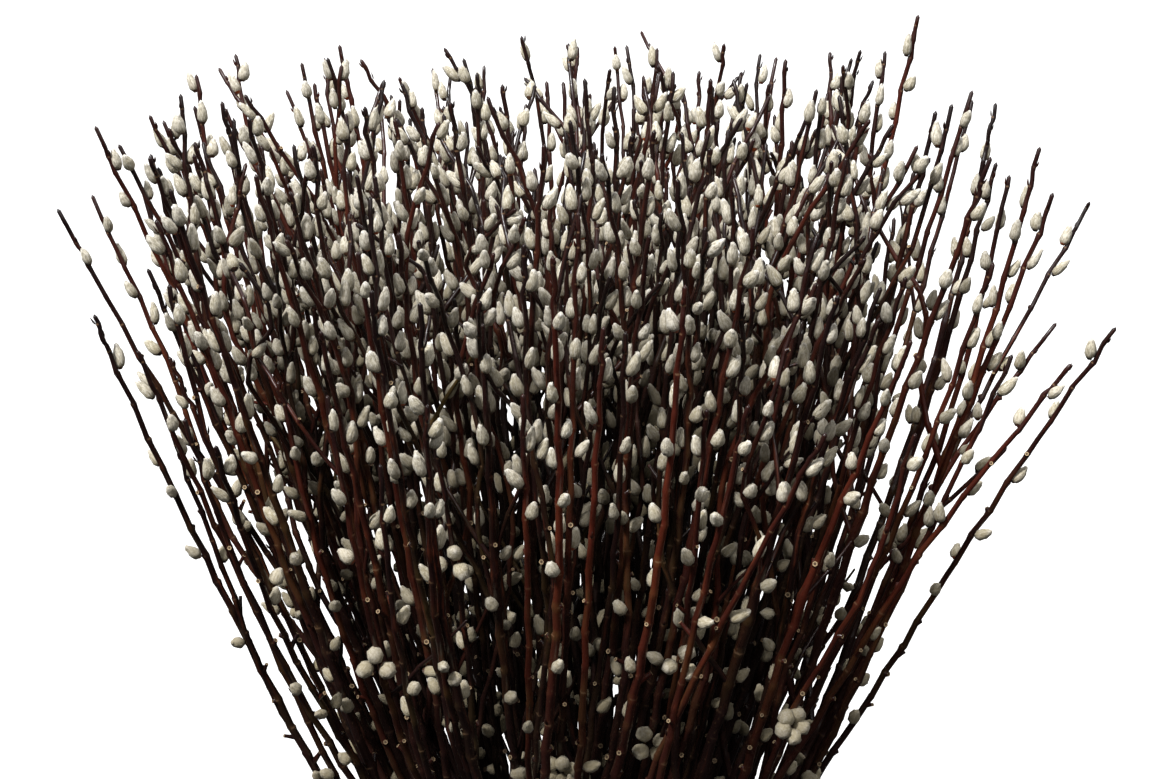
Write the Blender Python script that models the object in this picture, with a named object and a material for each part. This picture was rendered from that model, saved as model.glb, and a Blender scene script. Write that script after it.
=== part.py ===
# A bunch of cut pussy willow, tied low down with twine and standing on its cut ends.
# Each branch is one grown piece: a rod, the side rods that fork off it, and its catkins.
# The rods all slant the same way round the tie, so they splay above it and below it, and
# none of them meets another.
# Metres, +Z up. The origin is the middle of the centre rod's level cut end.

import math
import random
from collections import namedtuple

import bmesh
import bpy
import numpy as np
from mathutils import Matrix, Vector

# The bunch
BRANCHES = 57
TIE_HEIGHT = 0.235
TIE_RADIUS = 0.040
FAN_SLOPE = 0.64
FAN_CURVE = 0.23
REACH = (0.70, 0.81)
SEED = 41
BRANCH_SEEDS = 41000
CATKIN_SEEDS = 205000

# How the rods are pressed together in the tie
ROD_GAP = 0.00035
START_ROOM = 1.3
SETTLE_STEPS = 1600
SQUEEZE_STEPS = 900
SQUEEZE = 0.998
PUSH = 0.45

# Main rods
ROD_RADIUS = (0.0040, 0.0048)
ROD_TIP_RADIUS = 0.0014
ROD_TAPER = 1.15
FOOT_SWELL = 0.15
ROD_FOOT_HEIGHTS = (-0.02, 0.258)
ROD_UPPER_SHARES = (0.17, 0.42, 0.71, 1.0)
LEADERS = (1, 2, 3)
LEADER_ODDS = (0.10, 0.30, 0.60)
LEADER_SPREAD = 0.0025
SPREAD_START = 0.26
SPREAD_RISE = 0.20
CROOK = 0.0011
CROOK_START = 0.05
CROOK_RISE = 0.35

# Side rods, by height of the fork above the ground and by share of the main rod's size
FORK_HEIGHT = (0.335, 0.60)
FORK_LOW_BIAS = 1.6
FORK_RISE = 0.16
SIDE_SHARES = (0.10, 0.34, 0.65, 1.0)
SIDE_RADIUS = (0.66, 0.78)
SIDE_LOSS = (0.0, 0.10)

# Strays, the side rods that lean or reach out past the rest, by the place of their tips
STRAY_TIPS = (
    (-0.335, -0.060, 0.930), (-0.307, 0.000, 0.975), (-0.285, 0.110, 0.960), (-0.250, -0.140, 0.810),
    (0.220, 0.050, 1.040), (0.235, -0.030, 1.000), (0.265, -0.045, 0.950), (0.345, 0.110, 0.905),
    (0.305, 0.020, 0.840), (0.305, -0.155, 0.880), (0.285, -0.190, 0.865), (0.255, -0.110, 0.790),
    (0.120, -0.320, 0.860), (-0.090, -0.335, 0.880), (-0.210, -0.270, 0.840),
    (0.060, 0.350, 0.920), (-0.170, 0.310, 0.900), (0.230, 0.275, 0.870),
)
STRAY_FORK = (0.42, 0.56)
STRAY_ARCH = 1.5

# Catkins
CATKIN_LENGTH = (0.0135, 0.0175)
CATKIN_WIDTH = (0.0088, 0.0105)
CATKIN_LEAN = (24, 40)
CATKIN_BELLY = 0.42
CATKIN_SEAT = 0.55
CATKIN_CLEAR = 0.0010
CATKIN_CORE = (0.25, 0.85)
CATKIN_PROBES = ((0.3, 0.46), (0.6, 0.46), (0.95, 0.25))
CATKIN_SWINGS = (0, 50, -50, 100, -100, 150, -150)
TURN_PER_BUD = 144
BARE_TIP = (0.020, 0.042)
CATKIN_STEP = 0.023
STEP_SPREAD = (0.85, 1.15)
CATKIN_FLOOR = 0.50
CATKIN_FORK_GAP = 0.05
MAIN_KEPT = 10
SIDE_KEPT = 13

# Twine
TWINE_RADIUS = 0.0020
TWINE_PITCH = 0.0045
TWINE_TURNS = 3
TWINE_STEPS = 72
TWINE_THINNING = 6
TWINE_STAND = 0.0009
KNOT_SIDE = math.radians(-90)
KNOT_SIZE = (0.0048, 0.0062, 0.0094)
TAIL_LENGTH = 0.030
TAIL_DROP = (0.45, -0.35, -0.82)
TAIL_BOW = (0.004, -0.004, 0.0)

BARK, SILVER = 0, 1
MERGE = 1e-6

Rod = namedtuple("Rod", "branch points radii")
Catkin = namedtuple("Catkin", "branch base axis length width")


def clear_scene():
    for obj in list(bpy.data.objects):
        bpy.data.objects.remove(obj)


def material(name, colour, roughness):
    mat = bpy.data.materials.new(name)
    mat.use_nodes = True
    shader = mat.node_tree.nodes["Principled BSDF"]
    shader.inputs["Base Color"].default_value = (*colour, 1)
    shader.inputs["Roughness"].default_value = roughness
    return mat


def between(low_high, share):
    return low_high[0] + (low_high[1] - low_high[0]) * share


def ease(share):
    share = min(max(share, 0), 1)
    return 1 - (1 - share) ** 2


# Where the rods stand

def run_at(height):
    """How far a rod has slanted away from its spot in the tie, as a share of that spot's radius."""
    up = height - TIE_HEIGHT
    return (FAN_SLOPE * up - FAN_CURVE * max(up, 0) ** 2) / TIE_RADIUS


def fan(spot, height):
    """Follows the slanting line that crosses the tie at spot, to a height."""
    run = run_at(height)
    return Vector((spot.x - run * spot.y, spot.y + run * spot.x, height))


def fan_back(point):
    """The spot in the tie of the slanting line that passes through a point."""
    run = run_at(point.z)
    scale = 1 + run * run
    return Vector((point.x + run * point.y, point.y - run * point.x)) / scale


def tip_height(spot, reach):
    """The height of a rod's tip, for its length above the tie."""
    lean = run_at(TIE_HEIGHT + reach) / reach * spot.length
    return TIE_HEIGHT + reach * math.cos(math.atan(lean))


def line_gaps(spots):
    """Offsets between the spots, and the true distances between the slanting lines there."""
    lean = FAN_SLOPE / TIE_RADIUS
    headings = np.stack([-lean * spots[:, 1], lean * spots[:, 0], np.ones(len(spots))], axis=1)
    offsets = spots[:, None] - spots[None]
    normals = np.cross(headings[:, None], headings[None])
    reach = np.abs((offsets * normals[..., :2]).sum(axis=2))
    sizes = np.linalg.norm(normals, axis=2)
    return offsets, reach / np.maximum(sizes, 1e-12)


def settle_in_tie(radii):
    """Presses the rods together until they lie against each other, with the first in the middle."""
    count = len(radii)
    order = np.arange(count)
    turn = order * math.pi * (3 - math.sqrt(5))
    ring = START_ROOM * TIE_RADIUS * np.sqrt(order / count)
    spots = np.stack([ring * np.cos(turn), ring * np.sin(turn)], axis=1)
    wanted = radii[:, None] + radii[None] + ROD_GAP
    for step in range(SETTLE_STEPS):
        if step < SQUEEZE_STEPS:
            spots *= SQUEEZE
        offsets, gaps = line_gaps(spots)
        short = np.maximum(wanted - gaps, 0)
        np.fill_diagonal(short, 0)
        sizes = np.maximum(np.linalg.norm(offsets, axis=2), 1e-9)
        spots += PUSH * (offsets * (short / sizes)[..., None]).sum(axis=1)
        spots -= spots[0]
    return [Vector((x, y)) for x, y in spots.tolist()]


# Paths of the rods

def along(points, values, height):
    """The value that belongs to a height, read off a path."""
    for low, high, a, b in zip(points, points[1:], values, values[1:]):
        if height <= high.z:
            share = (height - low.z) / (high.z - low.z)
            return a + (b - a) * share
    return values[-1]


def crook(rng, height):
    """A small sideways step off the line, none of it near the tie or below."""
    amount = CROOK * ease((height - TIE_HEIGHT - CROOK_START) / CROOK_RISE)
    return Vector((rng.uniform(-1, 1), rng.uniform(-1, 1))) * amount


def main_rod(rng, branch, spot, radius, slot):
    """The branch's own rod: from below the ground line, to be cut level, up to its tip."""
    top = tip_height(spot + slot, rng.uniform(*REACH))
    upper = [between((ROD_FOOT_HEIGHTS[-1], top), share) for share in ROD_UPPER_SHARES]
    heights = [*ROD_FOOT_HEIGHTS, *upper]
    spots = []
    radii = []
    for height in heights:
        spots.append(spot + slot * ease((height - SPREAD_START) / SPREAD_RISE) + crook(rng, height))
        if height < TIE_HEIGHT:
            radii.append(radius * (1 + FOOT_SWELL * (TIE_HEIGHT - height) / TIE_HEIGHT))
        else:
            share = (height - TIE_HEIGHT) / (top - TIE_HEIGHT)
            radii.append(between((radius, ROD_TIP_RADIUS), share ** ROD_TAPER))
    points = [fan(spot, height) for spot, height in zip(spots, heights)]
    return Rod(branch, points, radii), spots


def side_rod(rng, trunk, trunk_spots, fork, top, goal, drift):
    """A rod that forks off the main one and moves over to its own place beside it."""
    start_radius = along(trunk.points, trunk.radii, fork) * rng.uniform(*SIDE_RADIUS)
    points = [along(trunk.points, trunk.points, fork)]
    radii = [start_radius]
    for share in SIDE_SHARES:
        height = between((fork, top), share)
        near = along(trunk.points, trunk_spots, min(height, trunk.points[-1].z))
        place = near + (goal - near) * drift(height) + crook(rng, height)
        points.append(fan(place, height))
        radii.append(between((start_radius, ROD_TIP_RADIUS), share ** ROD_TAPER))
    return Rod(trunk.branch, points, radii)


def leader(rng, trunk, trunk_spots, goal):
    fork = between(FORK_HEIGHT, rng.random() ** FORK_LOW_BIAS)
    top = tip_height(goal, rng.uniform(*REACH) - rng.uniform(*SIDE_LOSS))

    def drift(height):
        return ease((height - fork) / FORK_RISE)

    return side_rod(rng, trunk, trunk_spots, fork, top, goal, drift)


def stray(rng, trunk, trunk_spots, tip):
    fork = rng.uniform(*STRAY_FORK)

    def drift(height):
        return ((height - fork) / (tip.z - fork)) ** STRAY_ARCH

    return side_rod(rng, trunk, trunk_spots, fork, tip.z, fan_back(tip), drift)


def grow_branch(branch, spot, radius, tips):
    """All the rods of one branch, the main one first."""
    rng = random.Random(BRANCH_SEEDS + branch)
    leaders = rng.choices(LEADERS, LEADER_ODDS)[0]
    first = rng.uniform(0, 2 * math.pi)
    slots = []
    for number in range(leaders):
        turn = first + 2 * math.pi * number / leaders
        away = LEADER_SPREAD if leaders > 1 else 0
        slots.append(Vector((math.cos(turn), math.sin(turn))) * away)
    trunk, trunk_spots = main_rod(rng, branch, spot, radius, slots[0])
    rods = [trunk]
    rods += [leader(rng, trunk, trunk_spots, spot + slot) for slot in slots[1:]]
    rods += [stray(rng, trunk, trunk_spots, tip) for tip in tips]
    return rods


def share_out_strays(spots):
    """Gives each stray tip to the nearest branch that has none."""
    tips = [[] for _ in spots]
    for place in STRAY_TIPS:
        tip = Vector(place)
        home = fan_back(tip)
        free = [number for number, given in enumerate(tips) if not given]
        nearest = min(free, key=lambda number: (spots[number] - home).length)
        tips[nearest].append(tip)
    return tips


# Catkins and what they must stay clear of

class Crowd:
    """Every rod and catkin as a thick line, to find out whether a new catkin has room."""

    def __init__(self):
        self.starts, self.ends, self.radii, self.owners = [], [], [], []

    def add(self, owner, start, end, radius):
        self.starts.append(start)
        self.ends.append(end)
        self.radii.append(radius)
        self.owners.append(owner)

    def has_room(self, owner, catkin):
        starts, ends = np.array(self.starts), np.array(self.ends)
        spans = ends - starts
        lengths = (spans ** 2).sum(axis=1)
        others = np.array(self.owners) != owner
        for share, width in CATKIN_PROBES:
            point = np.array(catkin.base + catkin.axis * catkin.length * share)
            reach = np.clip(((point - starts) * spans).sum(axis=1) / lengths, 0, 1)
            away = np.linalg.norm(starts + spans * reach[:, None] - point, axis=1)
            room = away - np.array(self.radii) - catkin.width * width
            if (room[others] < CATKIN_CLEAR).any():
                return False
        return True


def place_on(rod, from_tip):
    """Point, heading and radius of a rod at a distance back from its tip."""
    for high in range(len(rod.points) - 1, 0, -1):
        span = rod.points[high] - rod.points[high - 1]
        if from_tip <= span.length or high == 1:
            share = from_tip / span.length
            radius = rod.radii[high] + (rod.radii[high - 1] - rod.radii[high]) * share
            return rod.points[high] - span * share, span.normalized(), radius
        from_tip -= span.length


def catkin_at(rng, rod, from_tip, turn):
    point, heading, radius = place_on(rod, from_tip)
    across = heading.cross(Vector((0, 1, 0))).normalized()
    side = Matrix.Rotation(turn, 3, heading) @ across
    lean = math.radians(rng.uniform(*CATKIN_LEAN))
    axis = heading * math.cos(lean) + side * math.sin(lean)
    size = rng.uniform(*CATKIN_LENGTH), rng.uniform(*CATKIN_WIDTH)
    return Catkin(rod.branch, point + side * radius * CATKIN_SEAT, axis, *size)


def set_catkins(rods):
    """Catkins in a spiral down each rod from near its tip, where they clear all that is there."""
    crowd = Crowd()
    for owner, rod in enumerate(rods):
        for start, end, radius in zip(rod.points, rod.points[1:], rod.radii):
            crowd.add(owner, start, end, radius)
    catkins = []
    for owner, rod in enumerate(rods):
        rng = random.Random(CATKIN_SEEDS + owner)
        from_tip = rng.uniform(*BARE_TIP)
        turn = rng.uniform(0, 2 * math.pi)
        kept = MAIN_KEPT if rod.points[0].z < 0 else SIDE_KEPT
        lowest = max(CATKIN_FLOOR, rod.points[0].z + CATKIN_FORK_GAP)
        bud = 0
        while place_on(rod, from_tip)[0].z > lowest:
            if bud % kept == 0:
                for swing in CATKIN_SWINGS:
                    catkin = catkin_at(rng, rod, from_tip, turn + math.radians(swing))
                    if crowd.has_room(owner, catkin):
                        catkins.append(catkin)
                        low = catkin.base + catkin.axis * catkin.length * CATKIN_CORE[0]
                        high = catkin.base + catkin.axis * catkin.length * CATKIN_CORE[1]
                        crowd.add(-1, low, high, catkin.width / 2)
                        break
            bud += 1
            turn += math.radians(TURN_PER_BUD)
            from_tip += CATKIN_STEP * rng.uniform(*STEP_SPREAD)
    return catkins


# Meshes

def tube(name, points, radii, resolution):
    """A tapering tube along the points, as a closed mesh object."""
    curve = bpy.data.curves.new(name, "CURVE")
    curve.dimensions = "3D"
    curve.bevel_depth = 1
    curve.bevel_resolution = resolution
    curve.use_fill_caps = True
    spline = curve.splines.new("POLY")
    spline.points.add(len(points) - 1)
    for knot, point, radius in zip(spline.points, points, radii):
        knot.co = (*point, 1)
        knot.radius = radius
    guide = bpy.data.objects.new(name + "_guide", curve)
    bpy.context.scene.collection.objects.link(guide)
    bpy.context.view_layer.update()
    evaluated = guide.evaluated_get(bpy.context.evaluated_depsgraph_get())
    mesh = bpy.data.meshes.new_from_object(evaluated)
    bpy.data.objects.remove(guide)
    shape = bmesh.new()
    shape.from_mesh(mesh)
    bmesh.ops.remove_doubles(shape, verts=shape.verts, dist=MERGE)
    bmesh.ops.recalc_face_normals(shape, faces=shape.faces)
    shape.to_mesh(mesh)
    shape.free()
    return bpy.data.objects.new(name, mesh)


def cut_level(obj):
    """Cuts the foot of a rod off at the ground line and closes it with one flat face."""
    shape = bmesh.new()
    shape.from_mesh(obj.data)
    everything = shape.verts[:] + shape.edges[:] + shape.faces[:]
    cut = bmesh.ops.bisect_plane(
        shape, geom=everything, plane_co=(0, 0, 0), plane_no=(0, 0, 1), clear_inner=True
    )
    rim = [part for part in cut["geom_cut"] if isinstance(part, bmesh.types.BMEdge)]
    bmesh.ops.edgeloop_fill(shape, edges=rim)
    bmesh.ops.recalc_face_normals(shape, faces=shape.faces)
    shape.to_mesh(obj.data)
    shape.free()


def catkin_object(catkin):
    """A bud-shaped solid, widest below its middle, standing on its base along its axis."""
    shape = bmesh.new()
    bmesh.ops.create_uvsphere(shape, u_segments=4, v_segments=2, radius=1)
    for vert in shape.verts:
        pole = round(vert.co.z)
        vert.co.x *= catkin.width / 2
        vert.co.y *= catkin.width / 2
        vert.co.z = catkin.length * (0, CATKIN_BELLY, 1)[pole + 1]
    facing = catkin.axis.to_track_quat("Z", "Y").to_matrix().to_4x4()
    shape.transform(Matrix.Translation(catkin.base) @ facing)
    mesh = bpy.data.meshes.new("catkin")
    shape.to_mesh(mesh)
    shape.free()
    return bpy.data.objects.new("catkin", mesh)


def join(obj, others):
    """Fuses the others into obj by one Boolean union, and removes them."""
    helpers = bpy.data.collections.new(obj.name + "_growths")
    bpy.context.scene.collection.children.link(helpers)
    for other in others:
        helpers.objects.link(other)
    union = obj.modifiers.new("Growths", "BOOLEAN")
    union.operation = "UNION"
    union.operand_type = "COLLECTION"
    union.collection = helpers
    union.solver = "EXACT"
    bpy.context.view_layer.update()
    evaluated = obj.evaluated_get(bpy.context.evaluated_depsgraph_get())
    fused = bpy.data.meshes.new_from_object(evaluated)
    obj.modifiers.clear()
    obj.data = fused
    for other in others:
        bpy.data.objects.remove(other)
    bpy.data.collections.remove(helpers)


def paint(obj, materials, index=0):
    for mat in materials:
        obj.data.materials.append(mat)
    for face in obj.data.polygons:
        face.material_index = index


def build_branch(collection, name, rods, catkins, materials):
    trunk = tube(name, rods[0].points, rods[0].radii, 1)
    cut_level(trunk)
    growths = [tube("side", rod.points, rod.radii, 0) for rod in rods[1:]]
    for obj in [trunk, *growths]:
        paint(obj, materials, BARK)
    buds = [catkin_object(catkin) for catkin in catkins]
    for obj in buds:
        paint(obj, materials, SILVER)
    collection.objects.link(trunk)
    join(trunk, growths + buds)


def rim_point(spot, radius, height, out):
    """The outermost point, in one level direction, of a slanting rod."""
    slant = Vector((-spot.y, spot.x, 0)) * FAN_SLOPE / TIE_RADIUS
    lean = slant.dot(out)
    return fan(spot, height) + (out + slant * lean) * radius / math.sqrt(1 + lean * lean)


def twine_path(spots, radii):
    """The twine's turns, tight round the outermost rods at each height."""
    points = []
    rods = []
    for step in range(TWINE_TURNS * TWINE_STEPS + 1):
        turns = step / TWINE_STEPS
        angle = KNOT_SIDE + 2 * math.pi * turns
        height = TIE_HEIGHT + TWINE_PITCH * (turns - TWINE_TURNS / 2)
        out = Vector((math.cos(angle), math.sin(angle), 0))
        rims = [rim_point(spot, radius, height, out) for spot, radius in zip(spots, radii)]
        far = max(rims, key=out.dot)
        points.append(far + out * (TWINE_RADIUS + TWINE_STAND))
        rods.append(rims.index(far))
    last = len(points) - 1
    kept = [
        step for step in range(last + 1)
        if step in (0, last) or step % TWINE_THINNING == 0
        or rods[step] != rods[step - 1] or rods[step] != rods[step + 1]
    ]
    return [points[step] for step in kept]


def build_twine(collection, spots, radii, mat):
    turns = twine_path(spots, radii)
    twine = tube("tie_twine", turns, [TWINE_RADIUS] * len(turns), 0)
    out = Vector((math.cos(KNOT_SIDE), math.sin(KNOT_SIDE), 0))
    middle = (turns[0] + turns[-1]) / 2 + out * (KNOT_SIZE[0] - TWINE_RADIUS)
    shape = bmesh.new()
    bmesh.ops.create_icosphere(shape, subdivisions=2, radius=1)
    sizing = Matrix.Diagonal((*KNOT_SIZE, 1))
    shape.transform(Matrix.Translation(middle) @ Matrix.Rotation(KNOT_SIDE, 4, "Z") @ sizing)
    knot_mesh = bpy.data.meshes.new("knot")
    shape.to_mesh(knot_mesh)
    shape.free()
    growths = [bpy.data.objects.new("knot", knot_mesh)]
    for side in (-1, 1):
        mirror = Vector((side, 1, 1))
        drop = Vector(TAIL_DROP) * mirror * TAIL_LENGTH
        bow = Vector(TAIL_BOW) * mirror
        path = [middle, middle + drop / 2 + bow, middle + drop + bow / 2]
        growths.append(tube("tail", path, [TWINE_RADIUS] * 3, 0))
    for obj in [twine, *growths]:
        paint(obj, [mat])
    collection.objects.link(twine)
    join(twine, growths)


def main():
    clear_scene()
    bunch = bpy.data.collections.new("Pussy willow bunch")
    bpy.context.scene.collection.children.link(bunch)
    bark = material("bark", (0.085, 0.022, 0.012), 0.42)
    silver = material("catkin", (0.62, 0.61, 0.54), 0.85)
    straw = material("twine", (0.55, 0.42, 0.25), 0.9)

    rng = random.Random(SEED)
    radii = [rng.uniform(*ROD_RADIUS) for _ in range(BRANCHES)]
    spots = settle_in_tie(np.array(radii))
    tips = share_out_strays(spots)
    grown = [grow_branch(i, spots[i], radii[i], tips[i]) for i in range(BRANCHES)]
    catkins = set_catkins([rod for rods in grown for rod in rods])
    for branch, rods in enumerate(grown):
        mine = [catkin for catkin in catkins if catkin.branch == branch]
        build_branch(bunch, f"branch_{branch + 1:02d}", rods, mine, [bark, silver])
    build_twine(bunch, spots, radii, straw)


main()
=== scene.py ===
import math
import random
from collections import namedtuple

import bpy
import numpy as np
from mathutils import Matrix, Vector


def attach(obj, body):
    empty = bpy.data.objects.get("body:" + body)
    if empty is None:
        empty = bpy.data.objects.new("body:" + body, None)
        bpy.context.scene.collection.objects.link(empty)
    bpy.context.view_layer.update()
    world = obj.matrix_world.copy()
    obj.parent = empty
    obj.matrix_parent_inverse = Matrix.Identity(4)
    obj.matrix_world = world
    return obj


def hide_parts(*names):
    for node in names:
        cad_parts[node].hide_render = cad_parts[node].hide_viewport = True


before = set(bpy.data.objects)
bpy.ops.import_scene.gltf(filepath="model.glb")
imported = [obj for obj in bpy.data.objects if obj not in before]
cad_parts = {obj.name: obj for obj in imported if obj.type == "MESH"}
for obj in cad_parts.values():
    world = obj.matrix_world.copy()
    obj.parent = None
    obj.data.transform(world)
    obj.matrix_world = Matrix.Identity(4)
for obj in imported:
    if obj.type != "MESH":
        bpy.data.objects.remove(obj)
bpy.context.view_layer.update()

# A rod is a few points, and a stem is the smooth line through them. A bud is a place on a rod
# where the solid may have a catkin, and a node is what shows there on the stem.
Rod = namedtuple("Rod", "branch heights spots radii points")
Stem = namedtuple("Stem", "branch owner heights arcs points radii sides")
Bud = namedtuple("Bud", "owner height turn taken")
Catkin = namedtuple("Catkin", "branch base axis length width")
Node = namedtuple("Node", "arc turn size full")


def between(lowHigh, share):
    return lowHigh[0] + (lowHigh[1] - lowHigh[0]) * share


def ease(share):
    share = min(max(share, 0), 1)
    return 1 - (1 - share) ** 2


# Where the rods stand. They are straight lines that slant one way round the tie.

bunch = {
    "branches": 57,
    "tieHeight": 0.235,
    "tieRadius": 0.040,
    "fanSlope": 0.64,
    "fanCurve": 0.23,
    "reach": (0.70, 0.81),        # length of the rods above the tie
    "rodRadius": (0.0040, 0.0048),
    "seed": 41,
    "branchSeeds": 41000,
    "catkinSeeds": 205000,
}

pressing = {
    "rodGap": 0.00035,
    "startRoom": 1.3,
    "steps": 1600,
    "squeezeSteps": 900,
    "squeeze": 0.998,
    "push": 0.45,
}


def runAt(height):
    up = height - bunch["tieHeight"]
    return (bunch["fanSlope"] * up - bunch["fanCurve"] * np.maximum(up, 0) ** 2) / bunch["tieRadius"]


def fan(spot, height):
    run = float(runAt(height))
    return Vector((spot.x - run * spot.y, spot.y + run * spot.x, height))


def fanBack(point):
    run = float(runAt(point.z))
    scale = 1 + run * run
    return Vector((point.x + run * point.y, point.y - run * point.x)) / scale


def tipHeight(spot, reach):
    lean = float(runAt(bunch["tieHeight"] + reach)) / reach * spot.length
    return bunch["tieHeight"] + reach * math.cos(math.atan(lean))


def lineGaps(spots):
    lean = bunch["fanSlope"] / bunch["tieRadius"]
    headings = np.stack([-lean * spots[:, 1], lean * spots[:, 0], np.ones(len(spots))], axis=1)
    offsets = spots[:, None] - spots[None]
    normals = np.cross(headings[:, None], headings[None])
    reach = np.abs((offsets * normals[..., :2]).sum(axis=2))
    sizes = np.linalg.norm(normals, axis=2)
    return offsets, reach / np.maximum(sizes, 1e-12)


def settleInTie(radii):
    # pushes the rods apart while the whole shrinks, until they lie against each other
    count = len(radii)
    order = np.arange(count)
    turn = order * math.pi * (3 - math.sqrt(5))
    ring = pressing["startRoom"] * bunch["tieRadius"] * np.sqrt(order / count)
    spots = np.stack([ring * np.cos(turn), ring * np.sin(turn)], axis=1)
    wanted = radii[:, None] + radii[None] + pressing["rodGap"]
    for step in range(pressing["steps"]):
        if step < pressing["squeezeSteps"]:
            spots *= pressing["squeeze"]
        offsets, gaps = lineGaps(spots)
        short = np.maximum(wanted - gaps, 0)
        np.fill_diagonal(short, 0)
        sizes = np.maximum(np.linalg.norm(offsets, axis=2), 1e-9)
        spots += pressing["push"] * (offsets * (short / sizes)[..., None]).sum(axis=1)
        spots -= spots[0]
    return [Vector((x, y)) for x, y in spots.tolist()]


# The rods of each branch

mainRods = {
    "footHeights": (-0.02, 0.258),
    "upperShares": (0.17, 0.42, 0.71, 1.0),
    "tipRadius": 0.0014,
    "taper": 1.15,
    "footSwell": 0.15,
    "leaders": (1, 2, 3),
    "leaderOdds": (0.10, 0.30, 0.60),
    "leaderSpread": 0.0025,
    "spreadStart": 0.26,
    "spreadRise": 0.20,
    "crook": 0.0011,
    "crookStart": 0.05,
    "crookRise": 0.35,
}

sideRods = {
    "forkHeight": (0.335, 0.60),
    "lowBias": 1.6,
    "forkRise": 0.16,
    "shares": (0.10, 0.34, 0.65, 1.0),
    "radius": (0.66, 0.78),
    "loss": (0.0, 0.10),
}

strayRods = {
    "fork": (0.42, 0.56),
    "arch": 1.5,
    "tips": (
        (-0.335, -0.060, 0.930), (-0.307, 0.000, 0.975), (-0.285, 0.110, 0.960),
        (-0.250, -0.140, 0.810), (0.220, 0.050, 1.040), (0.235, -0.030, 1.000),
        (0.265, -0.045, 0.950), (0.345, 0.110, 0.905), (0.305, 0.020, 0.840),
        (0.305, -0.155, 0.880), (0.285, -0.190, 0.865), (0.255, -0.110, 0.790),
        (0.120, -0.320, 0.860), (-0.090, -0.335, 0.880), (-0.210, -0.270, 0.840),
        (0.060, 0.350, 0.920), (-0.170, 0.310, 0.900), (0.230, 0.275, 0.870),
    ),
}


def along(points, values, height):
    for low, high, a, b in zip(points, points[1:], values, values[1:]):
        if height <= high.z:
            share = (height - low.z) / (high.z - low.z)
            return a + (b - a) * share
    return values[-1]


def crook(rng, height):
    rise = (height - bunch["tieHeight"] - mainRods["crookStart"]) / mainRods["crookRise"]
    return Vector((rng.uniform(-1, 1), rng.uniform(-1, 1))) * (mainRods["crook"] * ease(rise))


def mainRod(rng, branch, spot, radius, slot):
    top = tipHeight(spot + slot, rng.uniform(*bunch["reach"]))
    feet = mainRods["footHeights"]
    heights = [*feet, *(between((feet[-1], top), share) for share in mainRods["upperShares"])]
    spots = []
    radii = []
    for height in heights:
        moved = ease((height - mainRods["spreadStart"]) / mainRods["spreadRise"])
        spots.append(spot + slot * moved + crook(rng, height))
        if height < bunch["tieHeight"]:
            below = (bunch["tieHeight"] - height) / bunch["tieHeight"]
            radii.append(radius * (1 + mainRods["footSwell"] * below))
        else:
            share = (height - bunch["tieHeight"]) / (top - bunch["tieHeight"])
            radii.append(between((radius, mainRods["tipRadius"]), share ** mainRods["taper"]))
    points = [fan(spot, height) for spot, height in zip(spots, heights)]
    return Rod(branch, heights, spots, radii, points)


def sideRod(rng, trunk, fork, top, goal, drift):
    radius = along(trunk.points, trunk.radii, fork) * rng.uniform(*sideRods["radius"])
    heights = [fork]
    spots = [along(trunk.points, trunk.spots, fork)]
    radii = [radius]
    points = [along(trunk.points, trunk.points, fork)]
    for share in sideRods["shares"]:
        height = between((fork, top), share)
        near = along(trunk.points, trunk.spots, min(height, trunk.points[-1].z))
        place = near + (goal - near) * drift(height) + crook(rng, height)
        heights.append(height)
        spots.append(place)
        radii.append(between((radius, mainRods["tipRadius"]), share ** mainRods["taper"]))
        points.append(fan(place, height))
    return Rod(trunk.branch, heights, spots, radii, points)


def leader(rng, trunk, goal):
    fork = between(sideRods["forkHeight"], rng.random() ** sideRods["lowBias"])
    top = tipHeight(goal, rng.uniform(*bunch["reach"]) - rng.uniform(*sideRods["loss"]))

    def drift(height):
        return ease((height - fork) / sideRods["forkRise"])

    return sideRod(rng, trunk, fork, top, goal, drift)


def stray(rng, trunk, tip):
    fork = rng.uniform(*strayRods["fork"])

    def drift(height):
        return ((height - fork) / (tip.z - fork)) ** strayRods["arch"]

    return sideRod(rng, trunk, fork, tip.z, fanBack(tip), drift)


def growBranch(branch, spot, radius, tips):
    rng = random.Random(bunch["branchSeeds"] + branch)
    leaders = rng.choices(mainRods["leaders"], mainRods["leaderOdds"])[0]
    first = rng.uniform(0, 2 * math.pi)
    slots = []
    for number in range(leaders):
        turn = first + 2 * math.pi * number / leaders
        away = mainRods["leaderSpread"] if leaders > 1 else 0
        slots.append(Vector((math.cos(turn), math.sin(turn))) * away)
    trunk = mainRod(rng, branch, spot, radius, slots[0])
    rods = [trunk]
    rods += [leader(rng, trunk, spot + slot) for slot in slots[1:]]
    rods += [stray(rng, trunk, tip) for tip in tips]
    return rods


def shareOutStrays(spots):
    tips = [[] for _ in spots]
    for place in strayRods["tips"]:
        tip = Vector(place)
        home = fanBack(tip)
        free = [number for number, given in enumerate(tips) if not given]
        nearest = min(free, key=lambda number: (spots[number] - home).length)
        tips[nearest].append(tip)
    return tips


# More side rods between the others, which the solids leave out

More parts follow.
